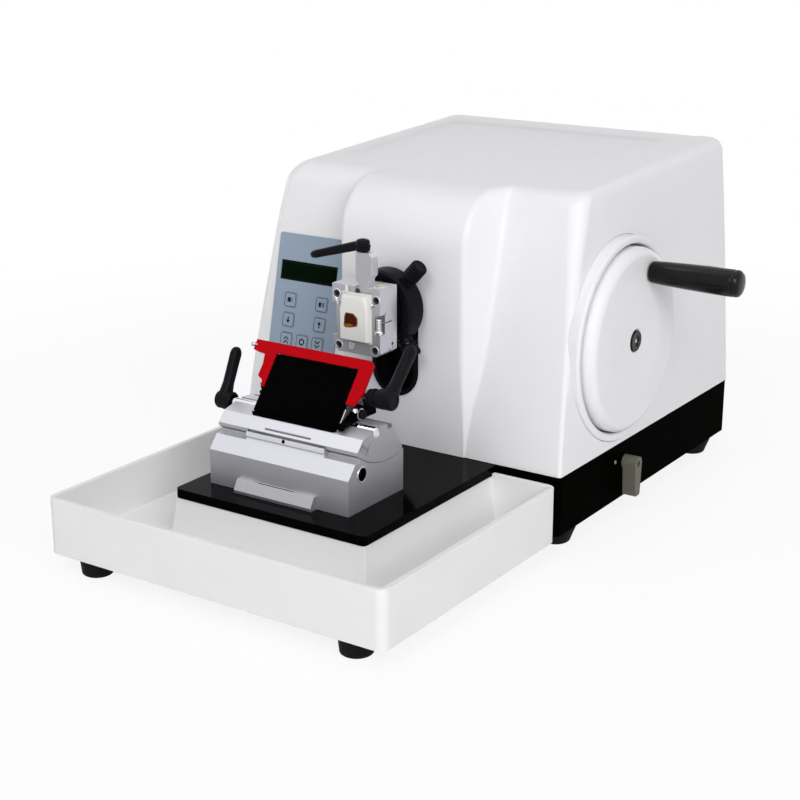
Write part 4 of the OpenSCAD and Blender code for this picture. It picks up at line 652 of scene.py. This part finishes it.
def blade_lever():
    """Blade clamp, on the right."""
    rows = tipped(BLADE_TIP)
    arm = lever_arm("blade_arm", 17.7, 47.8, 14.0, 8.8, 10.8, 9.2, 8.0)
    barrel = turned("blade_hub", [(0, 7.8), (5.6, 7.8), (6.9, 8.4), (7.6, 9.6), (7.7, 14.5),
                                  (7.5, 15.1), (7.5, 21.4), (6.8, 22.7), (5.0, 23), (4.4, 22.3),
                                  (0, 22.3)], ORIGIN, RIGHT, 48)
    dress(placed_by(fuse(barrel, arm), BLADE_PIVOT, rows), "blade_lever", "black_plastic",
          ["blade_lever"], "black_plastic", *ARM_EDGES)
    collar = turned("blade_collar", [(0, 0), (5.8, 0), (6.3, 0.6), (6.3, 1.8), (5.4, 2.4),
                                     (5.4, 3.2), (6.5, 3.9), (6.5, 5.6), (5.6, 6.2), (5.6, 8),
                                     (0, 8)], ORIGIN, RIGHT, 40)
    dress(placed_by(collar, BLADE_PIVOT, rows), "blade_lever", "black_plastic",
          slot="black_plastic", shade=30)
    ratchet = teeth("blade_teeth", 3.9, 5.8, 6.3, 7.1, 16)
    dress(placed_by(ratchet, BLADE_PIVOT, rows), "blade_lever", "black_plastic",
          slot="black_plastic")
    shaft = turned("blade_shaft", [(0, -50), (3, -50), (3, 0.5), (0, 0.5)], ORIGIN, RIGHT, 32)
    dress(placed_by(shaft, BLADE_PIVOT, rows), "blade_lever", "steel", slot="steel")


def jaw_lever():
    """Jaw lever on top of the clamp: its hub is upright, its arm leans down to the left."""
    top = turned("jaw_hub", [(0, 0.4), (4.6, 0.4), (5.5, 0.9), (5.8, 1.8), (5.8, 3.6), (5.3, 4.0),
                             (5.6, 4.6), (5.6, 8.0), (4.9, 9.3), (3.4, 9.9), (2.2, 9.9),
                             (2.0, 9.2), (0, 9.2)], JAW_PIVOT, UP, 40)
    arm = lever_arm("jaw_arm", 0, 53, 7.4, 5.6, 7.0, 7.6, 6.6)
    s, c = math.sin(math.radians(JAW_TIP)), math.cos(math.radians(JAW_TIP))
    x, y, z = JAW_PIVOT
    placed_by(arm, (x, y, z + 5.7), [(-c, 0, -s), (0, 1, 0), (-s, 0, c)])
    dress(fuse(top, arm), "jaw_lever", "black_plastic", ["jaw_lever"], "black_plastic",
          0.3, *ARM_EDGES[1:])
    ratchet = teeth("jaw_teeth", 3.9, 5.2, 5.5, 6.3, 14)
    dress(placed_by(ratchet, JAW_PIVOT, [UP, RIGHT, (0, 1, 0)]), "jaw_lever", "black_plastic",
          slot="black_plastic")


lateral_lever()
blade_lever()
jaw_lever()


# ---- specimen head knobs

KNOB_Y = -12
KNURL_POINTS, KNURL_DEPTH = 72, 0.45
NECK_END = 38  # what lies farther out than this comes in with a shorter knob


def knob_piece(name, node, degrees, short=0.0):
    """A knurled knob square to the head's axis, on a steel stem."""
    a = math.radians(degrees)
    out = Vector((math.cos(a), 0, math.sin(a)))
    across = Vector((-math.sin(a), 0, math.cos(a)))
    up = out.cross(across)
    origin = Vector((HEAD_X, KNOB_Y, HEAD_Z))
    # Radius, distance out and whether the ring is knurled
    profile = [(5.4, 36.0, 0), (6.2, 36.2, 0), (6.9, 37.0, 1), (6.95, 38.0, 1), (6.95, 49.6, 1),
               (6.7, 50.6, 1), (6.0, 51.3, 0), (5.2, 51.4, 0), (4.9, 50.9, 0), (0.2, 50.7, 0)]
    rings = []
    for r, d, knurl in profile:
        ring = []
        for i in range(KNURL_POINTS):
            rr = r - (KNURL_DEPTH if knurl and i % 4 in (2, 3) else 0)
            t = 2 * math.pi * i / KNURL_POINTS
            reach = d - (short if d > NECK_END else 0)
            ring.append(tuple(origin + out * reach + across * rr * math.cos(t)
                              + up * rr * math.sin(t)))
        rings.append(ring)
    dress(stack(name, rings), BODY_OF[node], "black_plastic", [node], "black_plastic", shade=24)
    stem = rod(name + "_stem", origin + out * 28, origin + out * 42, 6, 24)
    dress(stem, BODY_OF[node], "steel", slot="steel")


knob_piece("tilt_knob_cap", "tilt_knob", 48)
knob_piece("swivel_knob_cap", "swivel_knob", -52, 4.4)


# ---- keypad
# In the panel's own frame: x to the right, y up its slope, z out of it

PANEL_LEAN = math.atan(FRONT_SLOPE)
PANEL_Z = 171.2
PANEL_O = (-104, front_y(PANEL_Z), PANEL_Z)
PANEL_ROWS = [RIGHT, (0, math.sin(PANEL_LEAN), math.cos(PANEL_LEAN)),
              (0, -math.cos(PANEL_LEAN), math.sin(PANEL_LEAN))]
KEY_LEFT, KEY_RIGHT, KEY_TOP, KEY_PITCH = -16.6, 17.0, -2.9, 17.4
# Each key's place across and its row
KEY_SPOTS = {"section_key": (KEY_LEFT, 0), "trim_key": (KEY_RIGHT, 0),
             "down_key": (KEY_LEFT, 1), "up_key": (KEY_RIGHT, 1),
             "fast_up_key": (KEY_LEFT, 2), "home_key": (0.4, 2), "fast_down_key": (KEY_RIGHT, 2)}
KEY_HALF, KEY_R, KEY_LOW, KEY_FACE = 6.35, 1.8, -2.4, 1.9
LINE_HALF, LINE_R, LINE_W = 5.9, 1.7, 0.42
INK_LOW, INK_HIGH = 1.86, 1.96


def bar(x0, x1):
    return [(x0, -2.0), (x1, -2.0), (x1, 2.0), (x0, 2.0)]


def moved(shape, flip, up):
    return [(x, flip * y + up) for x, y in shape]


ARROW = [(-0.55, 2.7), (-0.55, -0.2), (-2.0, -0.2), (0, -3.0), (2.0, -0.2), (0.55, -0.2),
         (0.55, 2.7)]
CHEVRON = [(-2.6, -0.9), (0, 1.3), (2.6, -0.9), (2.6, 0.4), (0, 2.6), (-2.6, 0.4)]
MARKS = {"section_key": [bar(-2.8, 0.8), bar(1.8, 2.4)],
         "trim_key": [bar(-2.8, -0.4), bar(0.5, 1.3), bar(2.1, 2.9)],
         "down_key": [ARROW],
         "up_key": [moved(ARROW, -1, 0)],
         "fast_up_key": [moved(CHEVRON, 1, 0.4), moved(CHEVRON, 1, -3.0)],
         "fast_down_key": [moved(CHEVRON, -1, -0.4), moved(CHEVRON, -1, 3.0)]}


def on_panel(ob):
    return placed_by(ob, PANEL_O, PANEL_ROWS)


def square(cx, cy, half, r, n, z):
    return [(x, y, z) for x, y in round_rect(cx - half, cx + half, cy - half, cy + half, r, n)]


def keypad():
    for node, (cx, row) in KEY_SPOTS.items():
        cy = KEY_TOP - row * KEY_PITCH
        cap = stack(node + "_cap", [square(cx, cy, KEY_HALF, KEY_R, 6, z)
                                    for z in (KEY_LOW, KEY_FACE)])
        dress(on_panel(cap), BODY_OF[node], "panel_blue", [node], "panel_blue", 0.25, 2)
        outer, inner = (LINE_HALF, LINE_R, 5), (LINE_HALF - LINE_W, LINE_R - LINE_W, 5)
        line = stack(node + "_line", [square(cx, cy, *outer, INK_LOW),
                                      square(cx, cy, *outer, INK_HIGH),
                                      square(cx, cy, *inner, INK_HIGH),
                                      square(cx, cy, *inner, INK_LOW)], loop=True)
        dress(on_panel(line), BODY_OF[node], "ink", slot="panel_blue")
        for i, shape in enumerate(MARKS.get(node, [])):
            mark = prism(node + "_mark%d" % i, [(cx + x, cy + y) for x, y in shape], "z",
                         INK_LOW, INK_HIGH)
            dress(on_panel(mark), BODY_OF[node], "ink", slot="panel_blue")
        if node == "home_key":
            ring = turned("home_mark", [(1.7, INK_LOW), (2.9, INK_LOW), (2.9, INK_HIGH),
                                        (1.7, INK_HIGH)], (cx, cy, 0), UP, 32, loop=True)
            dress(on_panel(ring), BODY_OF[node], "ink", slot="panel_blue")
    glass = prism("display_glass", round_rect(-28.2, 27.6, 15.9, 28.9, 0.6, 3), "z", 1.0, 1.62)
    dress(on_panel(glass), "base", "lcd", slot="display")


keypad()
for node, mat, width in [
        ("keypad_panel", "panel_blue", 0.25), ("display_window", "display", 0.2),
        ("power_inlet", "black_plastic", 0.4), ("power_rocker", "black_plastic", 0.4),
        ("slot_bezel", "black_plastic", 0.4), ("rocker_screw", "black_plastic", 0.3),
        ("clamp_screws", "black_steel", 0.15), ("base_feet", "rubber", 0.5),
        ("tray_feet", "rubber", 0.5), ("base_screws", "steel", 0.2), ("clamp_rod", "chrome", 0.5)]:
    edged(node, mat, width)


# ---- specimen, cassette and clamp

CLAMP_FRONT, CLAMP_RIGHT, CLAMP_TOP = -52.0, 25.0, 212.0
WAX_FRONT, WAX_BACK = -58.0, -52.4
LEVEL = (20.0, -41.6, CLAMP_TOP)
SPRING_X, SPRING_Y = 22.6, -50.2
RIBS, RIB_PITCH = 7, 1.28


def wax_outline(g):
    """The block's face grown by g: narrower at the top, with its upper right corner cut."""
    return [(-10.4 - g, 169.2 - g), (-9.4 - g, 168.3 - g), (15.4 + g, 168.3 - g),
            (16.3 + g, 169.2 - g), (16.3 + g, 196.6), (14.2 + g, 203.8 + g),
            (12.8 + g, 205.7 + g), (-7.6 - g, 205.7 + g), (-8.8 - g, 204.7 + g),
            (-9.2 - g, 197.4), (-10.4 - g, 194.6)]


def specimen():
    rings = [[(x, y, z) for x, z in wax_outline(g)] for y, g in
             ((WAX_BACK, 0.1), (-55.4, 0.0), (-56.9, -0.35), (-57.7, -0.9), (WAX_FRONT, -1.9))]
    dress(stack("wax_block", rings), "clamp", "wax", ["specimen_block"], "wax", 0.35, 2)
    outline = [(-4.4, 190.9), (-3.2, 191.7), (3.6, 191.6), (5.4, 190.2), (7.6, 188.2),
               (7.9, 184.6), (7.3, 181.4), (3.2, 180.2), (-0.3, 179.4), (-4.6, 179.2),
               (-6.1, 180.4), (-5.6, 183.8), (-5.3, 187.6)]
    cx, cz = (sum(values) / len(outline) for values in zip(*outline))
    # The tissue is a dark crowned patch on a larger pale one
    for name, grow, lift, y, mat in (("tissue_rim", 1.0, 0, -57.99, "tissue_pale"),
                                     ("tissue", 0.84, 0.25, -58.06, "tissue")):
        rings = [[(cx + (x - cx) * k * grow, yy, cz + (z - cz) * k * grow + lift)
                  for x, z in outline]
                 for yy, k in ((-57.7, 1.0), (y, 0.99), (y - 0.08, 0.93), (y - 0.12, 0.8))]
        dress(stack(name, rings), "clamp", mat, slot="wax", shade=60)
    pale = [(-5.0, 182.6), (-2.6, 182.2), (0.2, 183.0), (2.6, 182.2), (3.8, 181.4), (1.8, 180.5),
            (-0.8, 180.1), (-4.2, 180.0), (-5.2, 180.8)]
    dress(prism("tissue_edge", pale, "y", -58.26, -58.0), "clamp", "tissue_light", slot="wax",
          bevel=0.05, segments=1)


def spring_clip(name, x, z, side):
    """A small bright leaf that holds the cassette's edge, bent round under its screw."""
    rings = []
    for dx, dz, h in [(0.2, -2.6, 0.8), (-1.5, -3.4, 0.95), (-2.6, -5.0, 0.85),
                      (-3.2, -6.8, 0.45)]:
        cx, cz = x - side * dx, z + dz + 1.4
        rings.append([(cx - h, -53.9, cz + h * 0.6), (cx + h, -53.9, cz - h * 0.6),
                      (cx + h, -52.2, cz - h * 0.6), (cx - h, -52.2, cz + h * 0.6)])
    return stack(name, rings)


def clamp_fixings():
    """Bright seats of the dark screws, the clips, the cassette's stops, and the jaw slot's eye
    drawn as a dark disc of painted shade.
    """
    for i, (x, z) in enumerate([(-16.4, 204.0), (21.3, 203.0), (-15.0, 162.0), (20.0, 162.0)]):
        seat = turned("clamp_seat_%d" % i, [(3.15, -0.15), (3.9, -0.15), (4.0, 0.1), (3.8, 0.35),
                                            (3.2, 0.35)], (x, CLAMP_FRONT, z), FRONT, 32, loop=True)
        dress(seat, "clamp", "aluminium_light", slot="aluminium")
    for i, (x, z, side) in enumerate([(-17.4, 201.6, 1), (19.6, 201.4, -1)]):
        dress(spring_clip("cassette_clip_%d" % i, x, z, side), "clamp", "chrome", slot="steel",
              bevel=0.3)
    pin = turned("upper_stop", [(0, 0), (1.3, 0), (1.35, 0.4), (1.35, 5.4), (1.05, 6.0), (0, 6.2)],
                 (-6.2, -52.9, 206.4), UP, 24)
    dress(pin, "clamp", "cassette_plastic", slot="cassette_plastic")
    low = prism("lower_stop", round_rect(-4.4, 0.6, 160.2, 166.6, 2.2, 5), "y", -53.5, -51.8)
    dress(low, "clamp", "aluminium_light", slot="aluminium", bevel=0.5, segments=3)
    eye = turned("jaw_slot_eye_shade", [(0, -0.2), (2.1, -0.2), (2.1, 0.25), (1.6, 0.5), (0, 0.5)],
                 (3.6, CLAMP_FRONT, 208.6), FRONT, 24)
    dress(eye, "clamp", "black_steel", slot="steel")


def clamp_spring():
    """The ribbed barrel in the right window, on its bright foot."""
    profile = [(0, 0), (2.7, 0), (2.9, 0.4), (2.9, 2.6), (2.5, 3.2)]
    for i in range(RIBS):
        z = 3.3 + i * RIB_PITCH
        profile += [(2.15, z), (2.45, z + 0.25), (2.55, z + 0.64), (2.45, z + 1.02)]
    profile += [(2.2, 12.6), (1.4, 13.0), (0, 13.0)]
    dress(turned("spring_barrel", profile, (SPRING_X, SPRING_Y, 175.6), UP, 32), "clamp", "steel",
          slot="steel", shade=50)
    foot = turned("spring_foot", [(0, 0), (2.95, 0), (3.1, 0.3), (3.1, 2.3), (2.9, 2.7), (0, 2.7)],
                  (SPRING_X, SPRING_Y, 175.4), UP, 32)
    dress(foot, "clamp", "chrome", slot="steel")


def clamp_side_and_top():
    """On the right side a catch's wire and two small holes drawn as dark discs of painted shade, on
    top a level's green window.
    """
    wire = [(CLAMP_RIGHT, y, z) for y, z in
            ((-51.6, 190.4), (-46.8, 189.9), (-44.8, 190.6), (-43.6, 192.6))]
    for i, (p, q) in enumerate(zip(wire, wire[1:])):
        dress(rod("catch_wire_%d" % i, p, q, 0.45, 10), "clamp", "black_steel", slot="steel")
    for i, (y, z, r) in enumerate([(-38.4, 160.6, 0.8), (-34.6, 162.2, 0.5)]):
        eye = turned("side_eye_shade_%d" % i, [(0, -0.1), (r, -0.1), (r, 0.12), (r * 0.7, 0.2), (0, 0.2)],
                     (CLAMP_RIGHT, y, z), RIGHT, 20)
        dress(eye, "clamp", "black_steel", slot="steel")
    rim = turned("level_rim", [(2.6, -0.1), (3.3, -0.1), (3.3, 0.3), (2.9, 0.45), (2.6, 0.3)],
                 LEVEL, UP, 32, loop=True)
    dress(rim, "clamp", "aluminium_light", slot="aluminium")
    window = turned("level_window", [(0, -0.1), (2.7, -0.1), (2.7, 0.2), (1.8, 0.42), (0, 0.5)],
                    LEVEL, UP, 32)
    dress(window, "clamp", "pad_green", slot="wax")


def disc_details():
    """The disc's raised rim with its inner step, and two light index lines low on the right."""
    rim = turned("disc_rim", [(27.4, 0), (30.6, 0), (31.3, 0.3), (31.4, 1.0), (31.0, 1.7),
                              (28.2, 1.9), (27.4, 1.2)], (HEAD_X, -20.9, HEAD_Z), FRONT, 96,
                 loop=True)
    dress(rim, BODY_OF["head_disc"], "black_plastic", slot="black_plastic", shade=50)
    centre = Vector((HEAD_X, -22.5, HEAD_Z))
    for i, degrees in enumerate((-47.0, -53.5)):
        a = math.radians(degrees)
        out = Vector((math.cos(a), 0, math.sin(a)))
        dress(rod("disc_index_%d" % i, centre + out * 27.0, centre + out * 31.0, 0.36, 8),
              BODY_OF["head_disc"], "aluminium_light", slot="aluminium")


specimen()
clamp_fixings()
clamp_spring()
clamp_side_and_top()
disc_details()


# ---- knife holder

HOLDER_SIDE = 68.4             # the right face of the base and the rocker
SCREW_Y, SCREW_Z = -138.7, 94.9  # the rocker's locking screw, along X
MARK_X = HOLDER_SIDE + 0.02
SCALE_MARKS, LONG_EVERY = 9, 4
BRACKET_X = 48.8
# The pressure plate's own frame: x from its middle, s up its slope, d out of its face
KNIFE_EDGE = (HEAD_X, -104, 163)
PLATE_LEAN = math.radians(52.2)
PLATE_ROWS = [RIGHT, (0, math.cos(PLATE_LEAN), math.sin(PLATE_LEAN)),
              (0, -math.sin(PLATE_LEAN), math.cos(PLATE_LEAN))]
LEAF_TOP = -49.15
PLATE_SIDE, TAB_THICK = 39.4, 1.8


def on_plate(ob):
    return placed_by(ob, KNIFE_EDGE, PLATE_ROWS)


def rocker_details():
    """Bright seat of the locking screw, and the angle scale with its index lines."""
    seat = turned("rocker_screw_seat", [(5.2, -0.2), (6.2, -0.2), (6.35, 0.1), (6.1, 0.35),
                                        (5.3, 0.3)], (HOLDER_SIDE, SCREW_Y, SCREW_Z), RIGHT, 40,
                  loop=True)
    dress(seat, "holder", "chrome", slot="steel")
    for i in range(SCALE_MARKS):
        t = i / (SCALE_MARKS - 1)
        y, z = -137.6 + 7.2 * t, 117.6 - 4.6 * t
        size = 2.6 if i % LONG_EVERY == 0 else 1.5
        mark = rod("rocker_scale_%d" % i, (MARK_X, y, z), (MARK_X, y - size * 0.72, z - size),
                   0.22, 6)
        dress(mark, "rocker", "scale_ink", slot="aluminium")
    for i, (p, q) in enumerate([((-136.0, 120.3), (-141.6, 113.4)),
                                ((-127.6, 116.8), (-134.4, 108.2))]):
        dress(rod("rocker_line_%d" % i, (MARK_X, *p), (MARK_X, *q), 0.26, 6), "rocker",
              "scale_ink", slot="aluminium")


def holder_details():
    # Ear of the pressure plate on its left edge
    ear = [(-38.0, -24.0), (-43.6, -26.4), (-43.0, -28.6), (-41.2, -30.2), (-42.4, -33.0),
           (-38.0, -35.6)]
    dress(on_plate(prism("plate_ear", ear, "z", -2.7, -0.9)), "plate", "plate_black",
          slot="plate_black", bevel=0.25)
    # Light face of the ridge between the rocker's lip ends, with its locating hole drawn as a black
    # disc of painted shade
    face = [(-146.75, 107.6), (-147.35, 108.0), (-146.7, 111.2), (-145.9, 111.45),
            (-145.4, 110.9), (-145.9, 107.6)]
    dress(prism("ridge_face", face, "x", -35.3, 39.3), "holder", "aluminium_light",
          slot="aluminium", bevel=0.15)
    hole = turned("ridge_hole_shade", [(0, -0.3), (1.5, -0.3), (1.5, 0.12), (0, 0.12)],
                  (1.0, -146.95, 110.0), (0, -1, 0.2), 24)
    dress(hole, "holder", "plate_black", slot="plate_black")
    # Thin black strip across the ledge's top, painted shade in its slot, and a black sleeve in the
    # bore of the locking screw, painted shade in the bore
    dress(block("ledge_slot_shade", -14.6, 19.2, -159.1, -158.3, 75.9, 76.78), "holder", "plate_black",
          slot="plate_black")
    sleeve = turned("rocker_bore_shade", [(4.5, 0), (5.17, 0), (5.17, 14.6), (4.5, 14.6)],
                    (53.6, SCREW_Y, SCREW_Z), RIGHT, 40, loop=True)
    dress(sleeve, "holder", "plate_black", slot="black_plastic")
    # Right bracket: clamp screw, its washer and a bright eccentric
    for name, place, profile, mat, slot in [
            ("bracket_knob", (-112.8, 131.6),
             [(0, -0.2), (3.6, -0.2), (3.7, 0.3), (3.7, 3.0), (3.2, 3.7), (1.8, 3.8), (1.6, 3.2),
              (0, 3.2)], "black_plastic", "black_plastic"),
            ("bracket_washer", (-112.8, 131.6),
             [(0, -0.2), (4.6, -0.2), (4.6, 0.5), (4.2, 0.8), (0, 0.8)], "steel", "steel"),
            ("bracket_stud", (-120.4, 136.4),
             [(0, -0.2), (2.0, -0.2), (2.1, 0.2), (2.1, 1.3), (1.5, 1.8), (0, 1.8)],
             "chrome", "steel")]:
        dress(turned(name, profile, (BRACKET_X, *place), RIGHT, 32), "carrier", mat, slot=slot)


def plate():
    """The black plate, wider below the guard's pins, and the hinge leaf in front of its pivot."""
    rings = []
    for s, w, d0, d1 in ((0, 38.8, -0.05, -0.5), (-1.7, 38.8, 0, -3), (-29.2, 38.8, 0, -3),
                         (-31.2, 40.0, 0, -3), (-45.6, 40.4, 0, -3), (-47.4, 40.4, -0.1, -2.9),
                         (-48.4, 40.2, -0.6, -2.4), (-48.9, 39.8, -1.2, -1.8)):
        rings.append([(-w, s, d1), (w, s, d1), (w, s, d0), (-w, s, d0)])
    dress(on_plate(stack("plate_sheet", rings)), "plate", "plate_black", ["pressure_plate"],
          "plate_black", 0.35, 3)
    low = [(x, s) for x, s in round_rect(-41.4, 40.4, -52.9, -43.0, 5.0, 8) if s < LEAF_TOP]
    leaf = [(-41.4, LEAF_TOP)] + low + [(40.4, LEAF_TOP)]
    dress(on_plate(prism("hinge_leaf", leaf, "z", -1.0, -0.1)), "carrier", "plate_black",
          slot="plate_black", bevel=0.15)
    # A thin light strip beside the plate's right edge: a painted highlight
    strip = block("plate_edge_highlight", 40.75, 41.35, -50.0, -32.5, -1.2, -0.1)
    dress(on_plate(strip), "carrier", "aluminium_light", slot="aluminium", bevel=0.1)


def guard():
    """The red sheet: a bar over the blade's edge, two legs beside the plate, tabs on its pins."""
    outline = [(-62.6, 9.0), (47.4, 8.7), (51.2, 5.6), (51.0, -17.6), (46.6, -28.4), (39.4, -28.8),
               (39.4, 0.6), (-39.4, 0.6), (-39.4, -28.6), (-43.4, -26.9), (-42.7, -25.0),
               (-43.3, -23.2), (-48.6, -20.2), (-48.3, -10.0), (-50.2, -1.8), (-57.0, -0.9),
               (-62.4, 0.3)]
    sheet = prism("guard_sheet", outline, "z", -1.6, 0.4)
    tab = arc(-24.0, -1.5, 3.3, -180, 0, 12) + [(-20.0, 0.3), (-28.0, 0.3)]
    for near, far in ((-PLATE_SIDE - TAB_THICK, -PLATE_SIDE), (PLATE_SIDE, PLATE_SIDE + TAB_THICK)):
        fuse(sheet, prism("guard_tab", tab, "x", near, far))
    dress(on_plate(sheet), "guard", "guard_red", ["finger_guard"], "guard_red", 0.35, 3)
    pin = turned("guard_pin", [(0, 0), (1.5, 0), (1.7, 0.3), (1.7, 2.6), (1.4, 3.0), (1.1, 3.2),
                               (1.1, 6.2), (0, 6.2)], (-66.4, 4.6, -0.6), RIGHT, 28)
    dress(on_plate(pin), "guard", "steel", slot="steel")


rocker_details()
holder_details()
plate()
guard()


# ---- camera, lamps, floor

CAMERA_AT = (732.7, -1074.0, 517.5)
CAMERA_DOWN, CAMERA_TURN = 17.63, 33.98  # degrees
# Name, place and aim in metres, size in metres, watts
LAMPS = (("KeyRight", (2.2, -1.6, 1.6), (0, 0, 0.15), (1.6, 1.6), 46),
         ("FrontHigh", (0.4, -2.2, 2.0), (0, -0.1, 0.1), (1.2, 1.2), 24),
         ("Top", (0.1, 0.2, 2.6), (0, 0, 0), (2.2, 2.2), 8),
         ("LeftHigh", (-1.2, -0.6, 2.25), (0.2, 0.1, 0.2), (0.24, 0.5), 3),
         ("LeftSide", (-2.6, 0.3, 0.5), (0, 0, 0.12), (1.6, 0.6), 9),
         ("Back", (-0.6, 2.7, 0.28), (0, 0, 0.14), (2.4, 0.5), 12))
SOFT_FILL, PLAIN_WHITE = 0.25, 1.0
FLOOR_SIZE, FLOOR_Z = 60, -0.0002  # metres
# The floor's share of plain white grows from the first to the second over this distance, metres
WHITE_FROM_TO, WHITE_SHARE = (0.45, 1.1), (0.86, 1.0)


def camera():
    data = bpy.data.cameras.new("Camera")
    data.lens = 73.87
    data.sensor_width = 36
    data.clip_end = 50
    cam = link("Camera", data)
    cam.location = at(*CAMERA_AT)
    cam.rotation_euler = (math.radians(90 - CAMERA_DOWN), 0, math.radians(CAMERA_TURN))
    bpy.context.scene.camera = cam


def area(name, where, target, size, watts):
    data = bpy.data.lights.new(name, "AREA")
    data.shape = "RECTANGLE"
    data.size, data.size_y = size
    data.energy = watts
    light = link(name, data)
    light.location = where
    light.rotation_euler = (Vector(target) - Vector(where)).to_track_quat("-Z", "Y").to_euler()


def white(tree, kind, strength):
    n = tree.nodes.new(kind)
    n.inputs["Color"].default_value = (1, 1, 1, 1)
    n.inputs["Strength"].default_value = strength
    return n.outputs[0]


def combined(tree, operation, first, second):
    n = tree.nodes.new("ShaderNodeMath")
    n.operation = operation
    tree.links.new(first, n.inputs[0])
    tree.links.new(second, n.inputs[1])
    return n.outputs[0]


def seen_rays(tree):
    """1 for rays that show the background: from the camera, in metal and through glass."""
    path = tree.nodes.new("ShaderNodeLightPath")
    value = path.outputs["Is Camera Ray"]
    for other in ("Is Glossy Ray", "Is Transmission Ray"):
        value = combined(tree, "MAXIMUM", value, path.outputs[other])
    return value


def mixed(tree, share, first, second, target):
    """Mixes two shaders by the share of the second."""
    n = tree.nodes.new("ShaderNodeMixShader")
    for output, socket in zip((share, first, second), n.inputs):
        tree.links.new(output, socket)
    tree.links.new(n.outputs[0], target)


def white_world():
    """White where it shows, a soft fill for all other rays."""
    world = bpy.data.worlds.new("World")
    bpy.context.scene.world = world
    world.use_nodes = True
    tree = world.node_tree
    tree.nodes.clear()
    out = tree.nodes.new("ShaderNodeOutputWorld")
    mixed(tree, seen_rays(tree), white(tree, "ShaderNodeBackground", SOFT_FILL),
          white(tree, "ShaderNodeBackground", PLAIN_WHITE), out.inputs[0])


def white_floor():
    """A floor that shows its shadow near the object and is plain white farther away."""
    bpy.ops.mesh.primitive_plane_add(size=FLOOR_SIZE, location=(0, 0, FLOOR_Z))
    floor = bpy.context.object
    floor.name = "Floor"
    m, tree, shader = new_material("FloorWhite")
    shader.inputs["Base Color"].default_value = (0.92, 0.92, 0.92, 1)
    shader.inputs["Roughness"].default_value = 0.6
    place = tree.nodes.new("ShaderNodeTexCoord")
    away = tree.nodes.new("ShaderNodeVectorMath")
    away.operation = "LENGTH"
    tree.links.new(place.outputs["Object"], away.inputs[0])
    share = remap(tree, away.outputs["Value"], WHITE_FROM_TO, WHITE_SHARE)
    share.interpolation_type = "SMOOTHSTEP"
    mixed(tree, combined(tree, "MULTIPLY", seen_rays(tree), share.outputs["Result"]),
          shader.outputs[0], white(tree, "ShaderNodeEmission", PLAIN_WHITE),
          tree.nodes["Material Output"].inputs["Surface"])
    floor.data.materials.append(m)
    return floor


camera()
for lamp in LAMPS:
    area(*lamp)
white_world()
white_floor()

bpy.context.scene.view_settings.view_transform = "Standard"
